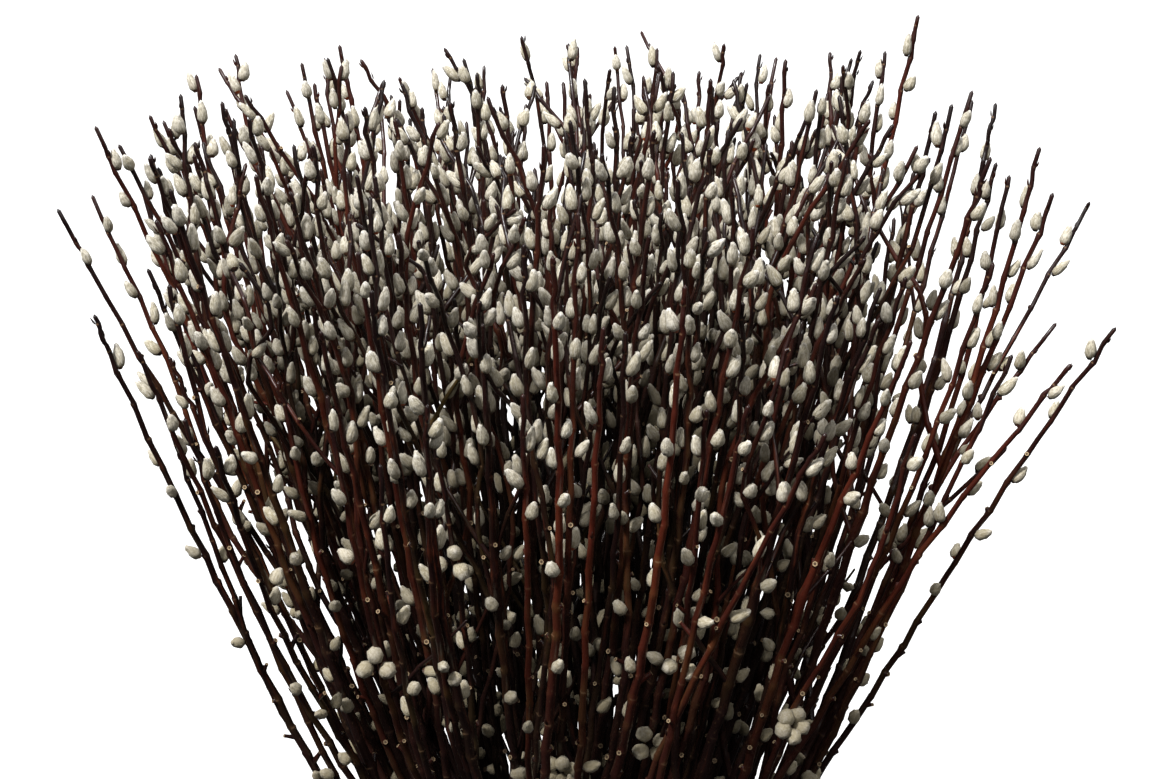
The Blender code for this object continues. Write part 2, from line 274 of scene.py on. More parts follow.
fillRods = {
    "seed": 64,
    "wanted": 255,
    "lowOnes": 56,                # of these fork further down, from rods at the edge
    "lowFork": (0.31, 0.45),
    "lowEdge": 0.024,
    "candidates": 24,
    "reachOut": (0.008, 0.018),   # how far from its own branch one may go, as a place in the tie
    "edge": 0.0340,
    "width": (-0.285, 0.178),     # the dense part of the bunch, at the height below
    "widthHeight": 0.90,
    "fork": (0.50, 0.80),
    "rise": (0.12, 0.32),
    "top": (0.912, 1.012),        # they end at much the same height, so the top is flat
    "wander": 0.0030,
    "radius": (0.58, 0.88),
    "lowRadius": (0.82, 1.00),
    "shares": (0.12, 0.30, 0.52, 0.76, 1.0),
    "bareTip": (0.008, 0.028),
    "step": 0.021,
    "sides": 5,
}


def fillRod(rng, trunk, goal, low):
    fork = rng.uniform(*fillRods["lowFork" if low else "fork"])
    rise = rng.uniform(*fillRods["rise"])
    top = rng.uniform(*fillRods["top"])
    thickness = rng.uniform(*fillRods["lowRadius" if low else "radius"])
    radius = along(trunk.points, trunk.radii, fork) * thickness
    heights = [fork]
    spots = [along(trunk.points, trunk.spots, fork)]
    radii = [radius]
    for share in fillRods["shares"]:
        height = between((fork, top), share)
        near = along(trunk.points, trunk.spots, min(height, trunk.points[-1].z))
        wander = Vector((rng.uniform(-1, 1), rng.uniform(-1, 1))) * fillRods["wander"]
        heights.append(height)
        spots.append(near + (goal - near) * ease((height - fork) / rise) + wander * share)
        radii.append(between((radius, mainRods["tipRadius"]), share ** mainRods["taper"]))
    points = [fan(spot, height) for spot, height in zip(spots, heights)]
    return Rod(trunk.branch, heights, spots, radii, points)


def addFillRods(rods, trunks, spots):
    # each one goes to the emptiest of some random places near its own branch
    rng = random.Random(fillRods["seed"])
    homes = [fanBack(rod.points[-1]) for rod in rods]
    inner = [branch for branch, spot in enumerate(spots) if spot.length < fillRods["edge"]]
    edge = [branch for branch, spot in enumerate(spots) if spot.length > fillRods["lowEdge"]]
    left, right = fillRods["width"]
    added = []
    for number in range(fillRods["wanted"]):
        if number % len(inner) == 0:
            rng.shuffle(inner)
        low = number < fillRods["lowOnes"]
        carriers = edge if low else inner
        branch = carriers[number % len(carriers)]
        places = []
        reachOut = rng.uniform(*fillRods["reachOut"])
        for _ in range(fillRods["candidates"]):
            turn = rng.uniform(0, 2 * math.pi)
            away = reachOut * math.sqrt(rng.random())
            goal = spots[branch] + Vector((math.cos(turn), math.sin(turn))) * away
            if goal.length < fillRods["edge"] and left < fan(goal, fillRods["widthHeight"]).x < right:
                places.append((min((goal - home).length for home in homes), tuple(goal)))
        if not places:
            continue
        goal = Vector(max(places)[1])
        homes.append(goal)
        added.append(fillRod(rng, trunks[branch], goal, low))
    return added


# Catkins that the solids have too, one in about ten

catkins = {
    "length": (0.0135, 0.0175),
    "width": (0.0088, 0.0105),
    "lean": (24, 40),             # degrees off the rod
    "seat": 0.55,
    "clear": 0.0010,
    "core": (0.25, 0.85),
    "probes": ((0.3, 0.46), (0.6, 0.46), (0.95, 0.25)),
    "swings": (0, 50, -50, 100, -100, 150, -150),
    "turnPerBud": 144,
    "bareTip": (0.020, 0.042),
    "step": 0.023,
    "stepSpread": (0.85, 1.15),
    "floor": 0.50,
    "forkGap": 0.05,
    "mainKept": 10,               # one bud in so many has a catkin on the solid
    "sideKept": 13,
    "crowdRoom": 3000,
}


class Crowd:
    # every rod and catkin as a thick line, to find out whether something new has room

    def __init__(self, room):
        self.count = 0
        self.starts = np.zeros((room, 3))
        self.ends = np.zeros((room, 3))
        self.radii = np.zeros(room)
        self.owners = np.zeros(room, int)

    def add(self, owner, start, end, radius):
        self.starts[self.count] = start
        self.ends[self.count] = end
        self.radii[self.count] = radius
        self.owners[self.count] = owner
        self.count += 1

    def gap(self, point, *owners):
        # the free distance round a point, leaving out what these owners have
        starts = self.starts[:self.count]
        spans = self.ends[:self.count] - starts
        lengths = (spans ** 2).sum(axis=1)
        offsets = np.array(point) - starts
        reach = np.clip((offsets * spans).sum(axis=1) / lengths, 0, 1)
        away = np.linalg.norm(offsets - spans * reach[:, None], axis=1) - self.radii[:self.count]
        others = ~np.isin(self.owners[:self.count], owners)
        return away[others].min()

    def hasRoom(self, catkin, clear, *owners):
        for share, width in catkins["probes"]:
            point = catkin.base + catkin.axis * catkin.length * share
            if self.gap(point, *owners) - catkin.width * width < clear:
                return False
        return True

    def addCatkin(self, catkin):
        low, high = (catkin.base + catkin.axis * catkin.length * share for share in catkins["core"])
        self.add(-1, low, high, catkin.width / 2)


def placeOn(rod, fromTip):
    for high in range(len(rod.points) - 1, 0, -1):
        span = rod.points[high] - rod.points[high - 1]
        if fromTip <= span.length or high == 1:
            share = fromTip / span.length
            radius = rod.radii[high] + (rod.radii[high - 1] - rod.radii[high]) * share
            return rod.points[high] - span * share, span.normalized(), radius
        fromTip -= span.length


def sideOf(heading, turn):
    across = heading.cross(Vector((0, 1, 0))).normalized()
    return Matrix.Rotation(turn, 3, heading) @ across


def catkinAt(rng, branch, point, heading, radius, turn):
    side = sideOf(heading, turn)
    lean = math.radians(rng.uniform(*catkins["lean"]))
    axis = heading * math.cos(lean) + side * math.sin(lean)
    size = rng.uniform(*catkins["length"]), rng.uniform(*catkins["width"])
    return Catkin(branch, point + side * radius * catkins["seat"], axis, *size)


def setSolidCatkins(rods):
    # finds every bud, and whether the solid has a catkin there
    crowd = Crowd(catkins["crowdRoom"])
    for owner, rod in enumerate(rods):
        for start, end, radius in zip(rod.points, rod.points[1:], rod.radii):
            crowd.add(owner, start, end, radius)
    buds = []
    for owner, rod in enumerate(rods):
        rng = random.Random(bunch["catkinSeeds"] + owner)
        fromTip = rng.uniform(*catkins["bareTip"])
        turn = rng.uniform(0, 2 * math.pi)
        kept = catkins["mainKept"] if rod.points[0].z < 0 else catkins["sideKept"]
        lowest = max(catkins["floor"], rod.points[0].z + catkins["forkGap"])
        bud = 0
        while placeOn(rod, fromTip)[0].z > lowest:
            point, heading, radius = placeOn(rod, fromTip)
            taken = False
            if bud % kept == 0:
                for swing in catkins["swings"]:
                    swung = turn + math.radians(swing)
                    catkin = catkinAt(rng, rod.branch, point, heading, radius, swung)
                    if crowd.hasRoom(catkin, catkins["clear"], owner):
                        crowd.addCatkin(catkin)
                        buds.append(Bud(owner, point.z, swung, True))
                        taken = True
                        break
            if not taken:
                buds.append(Bud(owner, point.z, turn, False))
            bud += 1
            turn += math.radians(catkins["turnPerBud"])
            fromTip += catkins["step"] * rng.uniform(*catkins["stepSpread"])
    return buds


def fillBudsOf(rods, first):
    buds = []
    for owner, rod in enumerate(rods, first):
        rng = random.Random(bunch["catkinSeeds"] + owner)
        fromTip = rng.uniform(*fillRods["bareTip"])
        turn = rng.uniform(0, 2 * math.pi)
        lowest = max(catkins["floor"], rod.points[0].z + catkins["forkGap"])
        while placeOn(rod, fromTip)[0].z > lowest:
            buds.append(Bud(owner, placeOn(rod, fromTip)[0].z, turn, False))
            turn += math.radians(catkins["turnPerBud"])
            fromTip += fillRods["step"] * rng.uniform(*catkins["stepSpread"])
    return buds


# Smooth stems through the same places

stems = {
    "fineStep": 0.004,
    "headingReach": 0.004,
    "mainSides": 8,
    "thinSides": 6,
}


def curveThrough(knots, values, slopes, places):
    slot = np.clip(np.searchsorted(knots, places) - 1, 0, len(knots) - 2)
    gap = (knots[slot + 1] - knots[slot])[:, None]
    share = (places[:, None] - knots[slot][:, None]) / gap
    rest = 1 - share
    fromLow = rest ** 2 * ((1 + 2 * share) * values[slot] + share * gap * slopes[slot])
    fromHigh = share ** 2 * ((3 - 2 * share) * values[slot + 1] - rest * gap * slopes[slot + 1])
    return fromLow + fromHigh


def stemThrough(points, radii, branch, owner, sides):
    steps = np.linalg.norm(np.diff(points, axis=0), axis=1)
    arcs = np.concatenate([[0], np.cumsum(steps)])
    return Stem(branch, owner, points[:, 2].copy(), arcs, points, radii, sides)


def smoothRod(rod, owner, trunk, sides):
    knots = np.array(rod.heights)
    spots = np.array(rod.spots)
    if trunk is not None:
        start = [np.interp(rod.heights[0], trunk.heights, trunk.points[:, axis]) for axis in range(3)]
        spots[0] = fanBack(Vector(start))
    slopes = np.gradient(spots, knots, axis=0)
    if trunk is None:
        slopes[:2] = 0
    lowest = max(rod.heights[0], 0)
    count = int((rod.heights[-1] - lowest) / stems["fineStep"]) + 2
    heights = np.linspace(lowest, rod.heights[-1], count)
    places = curveThrough(knots, spots, slopes, heights)
    run = runAt(heights)
    columns = places[:, 0] - run * places[:, 1], places[:, 1] + run * places[:, 0], heights
    radii = np.interp(heights, knots, rod.radii)
    return stemThrough(np.stack(columns, axis=1), radii, rod.branch, owner, sides)


def arcAt(stem, height):
    return float(np.interp(height, stem.heights, stem.arcs))


def stemAt(stem, arc):
    # point, heading and radius of a stem at a length from its start
    def read(at):
        return Vector([np.interp(at, stem.arcs, stem.points[:, axis]) for axis in range(3)])

    low = max(arc - stems["headingReach"], 0)
    high = min(arc + stems["headingReach"], stem.arcs[-1])
    heading = (read(high) - read(low)).normalized()
    return read(arc), heading, float(np.interp(arc, stem.arcs, stem.radii))


print("growing the rods")
tieRng = random.Random(bunch["seed"])
tieRadii = [tieRng.uniform(*bunch["rodRadius"]) for _ in range(bunch["branches"])]
tieSpots = settleInTie(np.array(tieRadii))
strayTips = shareOutStrays(tieSpots)
rods = []
allStems = []
trunks = []
trunkStems = []
for branch in range(bunch["branches"]):
    trunk, *others = growBranch(branch, tieSpots[branch], tieRadii[branch], strayTips[branch])
    trunks.append(trunk)
    trunkStems.append(smoothRod(trunk, len(rods), None, stems["mainSides"]))
    rods.append(trunk)
    allStems.append(trunkStems[-1])
    for rod in others:
        allStems.append(smoothRod(rod, len(rods), trunkStems[-1], stems["thinSides"]))
        rods.append(rod)
allBuds = setSolidCatkins(rods)
added = addFillRods(rods, trunks, tieSpots)
allBuds += fillBudsOf(added, len(rods))
for rod in added:
    allStems.append(smoothRod(rod, len(allStems), trunkStems[rod.branch], fillRods["sides"]))
print(len(rods), "rods and", len(added), "more, with", len(allBuds), "buds")


# Catkins on the smooth stems, spurs, and the nodes that carry them

growth = {
    "seed": 77,
    "clear": -0.0006,
    "heights": (0.50, 0.62, 0.74, 0.86),
    "shares": (0.05, 0.12, 0.31, 0.87),   # of the buds at those heights that have a catkin
    "lean": (4, 26),
    "lowLean": (20, 56),                  # further down they stand off more, and are rounder
    "leanHeights": (0.70, 0.86),
    "lowLength": 0.84,
    "lowWidth": 1.12,
    "width": (0.0059, 0.0079),
    "length": (0.0122, 0.0168),
    "seat": 0.9,                  # where the foot sits, as a share of the stem's radius
    "stalk": 0.0009,
    "crowdStep": 6,
    "crowdRoom": 16000,
    "nodeSize": (0.75, 1.3),
    "nodeGap": (0.026, 0.040),    # between the bare nodes further down
    "nodesBelowTip": 0.02,
    "rootRoom": 0.022,
    "tipNodes": (0.008, 0.016),
    "tipNodeSize": 0.7,
    "tipRoom": 0.003,
}

spurs = {
    "seed": 12,
    "wanted": 120,
    "length": (0.030, 0.100),
    "lean": (18, 40),
    "crossing": 0.35,             # share that cross the rods at a wider angle, nearly bare
    "crossLength": (0.060, 0.135),
    "crossLean": (34, 58),
    "crossBelow": 0.70,
    "edge": 0.0355,               # as a place in the tie: their tips stay within it
    "radius": 0.0016,
    "tipRadius": 0.0008,
    "steps": 8,
    "bow": 0.0045,
    "bowLength": 0.05,            # a twig of this length bows by that much
    "bowUp": (0.2, 1),
    "uneven": 0.0006,
    "freeFrom": 2,
    "clear": 0.0008,
    "heights": (0.46, 0.86),
    "forkRoom": 0.05,
    "topRoom": 0.08,
    "tries": 2500,
    "step": 0.020,
    "bareTip": (0.006, 0.030),
    "bareFoot": 0.008,
    "filled": 0.65,               # share of its buds with a catkin
    "long": 0.1,                  # twigs over this length have fewer
    "longFilled": 0.35,
    "nodeSize": 0.8,
    "sides": 5,
}

clusters = {
    "seed": 5,
    "places": (                   # on the front of the bunch, where the photograph has them
        (-0.016, -0.170, 0.600), (0.075, -0.215, 0.700), (-0.118, -0.200, 0.680),
        (0.165, -0.170, 0.545), (-0.050, -0.170, 0.600),
        (0.035, -0.180, 0.640), (-0.085, -0.200, 0.760), (0.095, -0.210, 0.640),
    ),
    "outward": 0.6,
    "upward": 0.5,
    "seat": 0.6,
    "count": (3, 5),
    "lean": (24, 62),
    "length": (0.0098, 0.0118),
    "width": (0.0092, 0.0106),
    "stalk": 0.0055,
    "spread": 0.0035,
    "reach": 0.012,               # the room that the group takes up
    "room": 0.010,
}


def buildCrowd():
    crowd = Crowd(growth["crowdRoom"])
    for stem in allStems:
        picked = list(range(0, len(stem.points) - 1, growth["crowdStep"])) + [len(stem.points) - 1]
        for low, high in zip(picked, picked[1:]):
            crowd.add(stem.owner, stem.points[low], stem.points[high], stem.radii[low])
    return crowd


def furryCatkin(rng, stem, arc, turn):
    point, heading, radius = stemAt(stem, arc)
    side = sideOf(heading, turn)
    up = float(np.interp(point.z, growth["leanHeights"], (0, 1)))
    share = rng.random()
    leans = between(growth["lowLean"], share), between(growth["lean"], share)
    lean = math.radians(between(leans, up))
    axis = heading * math.cos(lean) + side * math.sin(lean)
    length = rng.uniform(*growth["length"]) * between((growth["lowLength"], 1), up)
    width = rng.uniform(*growth["width"]) * between((growth["lowWidth"], 1), up)
    base = point + side * (radius * growth["seat"] + growth["stalk"])
    return Catkin(stem.branch, base, axis, length, width)


def setTakenBuds(crowd, rng):
    placed = []
    for bud in allBuds:
        if bud.taken:
            stem = allStems[bud.owner]
            placed.append(furryCatkin(rng, stem, arcAt(stem, bud.height), bud.turn))
            crowd.addCatkin(placed[-1])
    return placed


def growSpur(rng, crowd, stem, arc, turn, made):
    # a short twig with a few catkins of its own, where it has room
    point, heading, _ = stemAt(stem, arc)
    side = sideOf(heading, turn)
    crossing = rng.random() < spurs["crossing"] and point.z < spurs["crossBelow"]
    lean = math.radians(rng.uniform(*spurs["crossLean" if crossing else "lean"]))
    aim = heading * math.cos(lean) + side * math.sin(lean)
    length = rng.uniform(*spurs["crossLength" if crossing else "length"])
    bend = side.cross(heading) * rng.uniform(-1, 1) + heading * rng.uniform(*spurs["bowUp"])
    path = []
    for step in range(spurs["steps"] + 1):
        share = step / spurs["steps"]
        bow = bend * spurs["bow"] * share ** 2 * length / spurs["bowLength"]
        place = point + aim * length * share + bow
        place += Vector([rng.uniform(-1, 1) for _ in range(3)]) * spurs["uneven"] * share
        path.append(place)
    free = min(crowd.gap(place, stem.owner) for place in path[spurs["freeFrom"]:])
    if free < spurs["clear"] + spurs["radius"] or fanBack(path[-1]).length > spurs["edge"]:
        return
    owner = len(allStems) + len(made)
    radii = np.linspace(spurs["radius"], spurs["tipRadius"], len(path))
    spur = stemThrough(np.array(path), radii, stem.branch, owner, spurs["sides"])
    for low, high in zip(path, path[1:]):
        crowd.add(owner, low, high, spurs["radius"])
    made.append(spur)


def fillBuds(crowd, rng, placed, nodes):
    for owner, height, turn, taken in allBuds:
        stem = allStems[owner]
        arc = arcAt(stem, height)
        wanted = rng.random() < np.interp(height, growth["heights"], growth["shares"])
        full = taken
        if not taken and wanted:
            for swing in catkins["swings"]:
                swung = turn + math.radians(swing)
                catkin = furryCatkin(rng, stem, arc, swung)
                if crowd.hasRoom(catkin, growth["clear"], owner):
                    placed.append(catkin)
                    crowd.addCatkin(catkin)
                    turn = swung
                    full = True
                    break
        nodes[owner].append(Node(arc, turn, rng.uniform(*growth["nodeSize"]), full))


def addBareNodes(rng, nodes):
    for stem in allStems:
        mine = nodes[stem.owner]
        turn = mine[-1].turn if mine else rng.uniform(0, 2 * math.pi)
        arc = min((node.arc for node in mine), default=stem.arcs[-1] - growth["nodesBelowTip"])
        while True:
            arc -= rng.uniform(*growth["nodeGap"])
            turn += math.radians(catkins["turnPerBud"])
            if arc < growth["rootRoom"]:
                break
            mine.append(Node(arc, turn, rng.uniform(*growth["nodeSize"]), False))
        top = max((node.arc for node in mine), default=0)
        arc = top + rng.uniform(*growth["tipNodes"])
        while arc < stem.arcs[-1] - growth["tipRoom"]:
            turn += math.radians(catkins["turnPerBud"])
            mine.append(Node(arc, turn, growth["tipNodeSize"], True))
            arc += rng.uniform(*growth["tipNodes"])
        mine.sort(key=lambda node: node.arc)


def growSpurs(crowd, nodes, placed):
    rng = random.Random(spurs["seed"])
    made = []
    tries = 0
    while len(made) < spurs["wanted"] and tries < spurs["tries"]:
        tries += 1
        stem = rng.choice(allStems)
        height = rng.uniform(*spurs["heights"])
        if stem.heights[0] + spurs["forkRoom"] < height < stem.heights[-1] - spurs["topRoom"]:
            growSpur(rng, crowd, stem, arcAt(stem, height), rng.uniform(0, 2 * math.pi), made)
    for spur in made:
        mine = []
        fromTip = rng.uniform(*spurs["bareTip"])
        turn = rng.uniform(0, 2 * math.pi)
        share = spurs["filled"] * (spurs["longFilled"] if spur.arcs[-1] > spurs["long"] else 1)
        while fromTip < spur.arcs[-1] - spurs["bareFoot"]:
            arc = spur.arcs[-1] - fromTip
            filled = rng.random() < share
            for swing in catkins["swings"]:
                catkin = furryCatkin(rng, spur, arc, turn + math.radians(swing))
                if filled and crowd.hasRoom(catkin, growth["clear"], spur.owner):
                    placed.append(catkin)
                    crowd.addCatkin(catkin)
                    break
            mine.append(Node(arc, turn, spurs["nodeSize"], True))
            turn += math.radians(catkins["turnPerBud"])
            fromTip += spurs["step"] * rng.uniform(*catkins["stepSpread"])
        mine.sort(key=lambda node: node.arc)
        nodes.append(mine)
    return made


def budPoint(bud):
    stem = allStems[bud.owner]
    return Vector([np.interp(bud.height, stem.heights, stem.points[:, axis]) for axis in range(3)])


def addClusters(crowd, placed):
    # three to five catkins crowded on one bud
    rng = random.Random(clusters["seed"])
    for place in clusters["places"]:
        target = Vector(place)
        bud = min(allBuds, key=lambda bud: (budPoint(bud) - target).length)
        stem = allStems[bud.owner]
        point, heading, radius = stemAt(stem, arcAt(stem, bud.height))
        away = Vector((point.x, point.y, 0)).normalized()
        front = Vector((0, -1, 0)) + away * clusters["outward"]
        out = (front - heading * front.dot(heading)).normalized()
        start = point + out * radius * clusters["seat"]
        count = rng.randint(*clusters["count"])
        first = rng.uniform(0, 2 * math.pi)
        for number in range(count):
            turn = first + 2 * math.pi * number / count
            lean = math.radians(rng.uniform(*clusters["lean"]))
            middle = (out + heading * clusters["upward"]).normalized()
            spread = sideOf(middle, turn)
            axis = (middle * math.cos(lean) + spread * math.sin(lean)).normalized()
            size = rng.uniform(*clusters["length"]), rng.uniform(*clusters["width"])
            base = start + middle * clusters["stalk"] * rng.uniform(0, 1) + spread * clusters["spread"]
            placed.append(Catkin(stem.branch, base, axis, *size))
        crowd.add(-1, start, start + out * clusters["reach"], clusters["room"])


print("setting the catkins")
crowd = buildCrowd()
growthRng = random.Random(growth["seed"])
allCatkins = setTakenBuds(crowd, growthRng)
stemNodes = [[] for _ in allStems]
addClusters(crowd, allCatkins)
spurStems = growSpurs(crowd, stemNodes, allCatkins)
fillBuds(crowd, growthRng, allCatkins, stemNodes)
addBareNodes(growthRng, stemNodes)
firstSpur = len(allStems)
allStems += spurStems
print(len(allCatkins), "catkins and", len(spurStems), "spurs")


# Meshes

# painted shade: where and how much the finishes darken bark, cut wood and fur, as if little light got in
# between the rods
depth = {
    "spotRadii": (0.018, 0.036),  # as places in the tie: all dark further in, all bright further out
    "topHeights": (0.78, 0.97),   # light from above reaches everything over these
    "shadeHeights": (0.32, 0.48, 0.66, 0.82),
    "shade": (1.0, 0.46, 0.56, 1.0),
    "footHeights": (0.30, 0.45),  # and everything under these is seen from near the floor
}


def daylight(points):
    # how much of the light gets to a place between the rods, from 0 to 1
    run = runAt(points[:, 2])
    spots = np.hypot(points[:, 0], points[:, 1]) / np.sqrt(1 + run ** 2)
    outside = np.interp(spots, depth["spotRadii"], (0, 1))
    outside *= np.interp(points[:, 2], depth["shadeHeights"], depth["shade"])
    above = np.interp(points[:, 2], depth["topHeights"], (0, 1))
    below = np.interp(points[:, 2], depth["footHeights"], (1, 0))
    return np.maximum(np.maximum(outside, above), below)


class Skin:
    # gathers the parts of one piece, then makes its mesh

    def __init__(self):
        self.points = []
        self.faces = []
        self.finishes = []
        self.marks = {}
        self.count = 0

    def add(self, points, faces, finish, **marks):
        self.points.append(points)
        marks["daylight"] = daylight(points)
        self.faces += [tuple(corner + self.count for corner in face) for face in faces]
        self.finishes += [finish] * len(faces)
        for name, values in marks.items():
            self.marks.setdefault(name, []).append(values)
        self.count += len(points)

    def triangles(self):
        return sum(len(face) - 2 for face in self.faces)

    def make(self, name, finishes):
        mesh = bpy.data.meshes.new(name)
        mesh.from_pydata(np.concatenate(self.points).tolist(), [], self.faces)
        for finish in finishes:
            mesh.materials.append(finish)
        mesh.polygons.foreach_set("material_index", self.finishes)
        mesh.polygons.foreach_set("use_smooth", [True] * len(self.faces))
        for mark, blocks in self.marks.items():
            values = np.concatenate(blocks)
            kind = "FLOAT_VECTOR" if values.ndim == 2 else "FLOAT"
            layer = mesh.attributes.new(mark, kind, "POINT")
            layer.data.foreach_set("vector" if values.ndim == 2 else "value", values.ravel())
        mesh.update()
        piece = bpy.data.objects.new(name, mesh)
        bpy.context.scene.collection.objects.link(piece)
        return piece


bark = {
    "seed": 31,
    "nodeRings": (-0.0042, -0.0005, 0.0008, 0.0045),
    "thinNodeRings": (-0.0040, -0.0005, 0.0012),
    "longestRing": 0.020,
    "closestRings": 0.0004,
    "tipGap": 0.0005,
    "smallestNode": 0.8,
    "shelf": ((-0.0045, -0.0005, 0.0008, 0.0045), (0.0, 1.0, 0.12, 0.0)),
    "shelfSize": 0.46,
    "widestShelf": 0.0009,
    "nodeSwell": 0.10,
    "swellRadius": 0.0022,        # stems thicker than this swell less
    "zigzag": 0.0009,
    "tipZigzag": 0.0013,
    "tipRun": 0.05,
    "zigzagReach": 0.009,
    "zigzagStart": 0.02,
    "zigzagHeights": (0.26, 0.40),
    "forkSwell": 0.22,
    "forkReach": 0.012,
    "rootSize": 0.9,
    "tipLength": 1.4,
    "markReach": 0.006,
    "patternShift": 3.7,
    "oldLength": 0.45,            # bark this far from the tip is old
    "tones": (0.1, 0.9),
    "toneSpread": (-0.25, 0.25),
    "oliveSpurs": 0.20,
    "oliveTone": 1.65,
}


def ringFaces(rings, sides):
    faces = []
    for ring in range(rings - 1):
        for side in range(sides):
            after = (side + 1) % sides
            low, high = ring * sides, (ring + 1) * sides
            faces.append((low + side, low + after, high + after, high + side))
    return faces


def tipFaces(rings, sides):
    # closes the last ring to a point that comes after it
    last = (rings - 1) * sides
    return [(last + side, last + (side + 1) % sides, last + sides) for side in range(sides)]


def spokes(across, upright, angles):
    # the directions at these angles round each ring
    flat, high = np.cos(angles)[:, None], np.sin(angles)[:, None]
    return across[:, None] * flat + upright[:, None] * high


def ringPlaces(stem, nodes):
    end = stem.arcs[-1] - bark["tipGap"]
    wanted = [0, end]
    rings = bark["thinNodeRings"] if stem.sides <= stems["thinSides"] else bark["nodeRings"]
    for node in nodes:
        wanted += [node.arc + offset * max(node.size, bark["smallestNode"]) for offset in rings]
    wanted = sorted(place for place in wanted if 0 <= place <= end)
    places = [wanted[0]]
    for place in wanted[1:]:
        gap = place - places[-1]
        if gap < bark["closestRings"]:
            continue
        extra = int(gap / bark["longestRing"])
        places += [places[-1] + gap * (step + 1) / (extra + 1) for step in range(extra)]
        places.append(place)
    return np.array(places)


def stemFrame(stem, places):
    # centres, headings and two side directions at these lengths
    def read(values):
        columns = [np.interp(places, stem.arcs, values[:, axis]) for axis in range(3)]
        return np.stack(columns, axis=1)

    headings = read(np.gradient(stem.points, stem.arcs, axis=0))
    headings /= np.linalg.norm(headings, axis=1)[:, None]
    across = np.cross(headings, (0, 1, 0))
    across /= np.linalg.norm(across, axis=1)[:, None]
    return read(stem.points), headings, across, np.cross(headings, across)


def nearestNodes(places, nodes):
    # how far past its nearest node each place is, with that node's turn and size
    if not nodes:
        return np.full(len(places), 1.0), np.zeros(len(places)), np.ones(len(places))
    arcs, turns, sizes = np.array([(node.arc, node.turn, node.size) for node in nodes]).T
    nearest = np.abs(places[:, None] - arcs[None]).argmin(axis=1)
    return places - arcs[nearest], turns[nearest], sizes[nearest]


def barkStem(skin, stem, nodes, tone, forks, level):
    # level is true for a main rod, whose foot is cut level with the floor
    places = ringPlaces(stem, nodes)
    centres, headings, across, upright = stemFrame(stem, places)
    radii = np.interp(places, stem.arcs, stem.radii)
    offsets, turns, sizes = nearestNodes(places, nodes)
    shelf = np.interp(offsets / np.maximum(sizes, bark["smallestNode"]), *bark["shelf"]) * sizes

    # the stem steps to and fro from node to node
    toTip = stem.arcs[-1] - places
    zigzag = np.where(toTip < bark["tipRun"], bark["tipZigzag"], bark["zigzag"])
    zigzag = zigzag * np.interp(np.abs(offsets), (0, bark["zigzagReach"]), (1, 0)) * sizes
    zigzag *= np.interp(places, (0, bark["zigzagStart"]), (0, 1))
    if level:
        zigzag *= np.interp(centres[:, 2], bark["zigzagHeights"], (0, 1))
    budSide = across * np.cos(turns)[:, None] + upright * np.sin(turns)[:, None]
    centres = centres - budSide * zigzag[:, None]

    # it swells at nodes and forks, with a ledge on the side of the bud
    swell = 1 + bark["nodeSwell"] * shelf * np.minimum(bark["swellRadius"] / radii, 1)
    for fork in forks:
        swell += bark["forkSwell"] * np.exp(-((places - fork) / bark["forkReach"]) ** 2)
    sides = stem.sides
    angles = 2 * math.pi * np.arange(sides) / sides
    facing = np.cos(angles[None] - turns[:, None])
    ledge = np.minimum(bark["shelfSize"] * radii, bark["widestShelf"]) * shelf
    reach = (radii * swell)[:, None] + ledge[:, None] * np.maximum(facing, 0) ** 2
    points = centres[:, None] + spokes(across, upright, angles) * reach[..., None]
    if level:
        points[0] -= headings[0] * (points[0][:, 2] / headings[0][2])[:, None]
    else:
        points[0] = centres[0] + (points[0] - centres[0]) * bark["rootSize"]
    tip = centres[-1] + headings[-1] * radii[-1] * bark["tipLength"]
    faces = ringFaces(len(places), sides) + tipFaces(len(places), sides)

    # marks for the finish: the place on the bark, the node above and below it, and its age
    ring = np.stack([np.cos(angles), np.sin(angles)], axis=1)
    lengths = np.repeat(places, sides) + stem.owner * bark["patternShift"]
    around = np.column_stack([(radii[:, None, None] * ring).reshape(-1, 2), lengths])
    above = np.clip(offsets, 0, bark["markReach"]) / bark["markReach"]
    below = np.clip(-offsets, 0, bark["markReach"]) / bark["markReach"]
    nodeMarks = np.stack([np.repeat(above, sides), np.repeat(below, sides), facing.ravel()], axis=1)
    age = np.repeat(np.clip(toTip / bark["oldLength"], 0, 1), sides)
    skin.add(
        np.concatenate([points.reshape(-1, 3), tip[None]]), faces, 0,
        rodPlace=np.concatenate([around, around[-1:]]),
        nodePlace=np.concatenate([nodeMarks, nodeMarks[-1:]]),
        rodAge=np.append(age, 0), rodTone=np.full(len(age) + 1, tone),
    )
    if level:
        cutFace(skin, points[0], centres[0] - headings[0] * (centres[0][2] / headings[0][2]), tone)


cutEnds = {
    "heart": 0.66,                # size of the inner ring
    "stubDepth": 0.0002,
    "scarDepth": 0.0003,
}


def cutFace(skin, rim, centre, tone):
    # the sawn end, with its rings in rodPlace and its pith in the middle
    sides = len(rim)
    inner = centre + (rim - centre) * cutEnds["heart"]
    points = np.concatenate([rim, inner, centre[None]])
    faces = []
    for side in range(sides):
        after = (side + 1) % sides
        faces.append((side, sides + side, sides + after, after))
        faces.append((sides + side, 2 * sides, sides + after))
    share = np.concatenate([np.full(sides, 1.0), np.full(sides, cutEnds["heart"]), [0.0]])
    around = np.concatenate([rim - centre, inner - centre, [[0, 0, 0]]])
    skin.add(
        points, faces, 1, rodPlace=around, nodePlace=np.zeros((len(points), 3)),
        rodAge=share, rodTone=np.full(len(points), tone),
    )


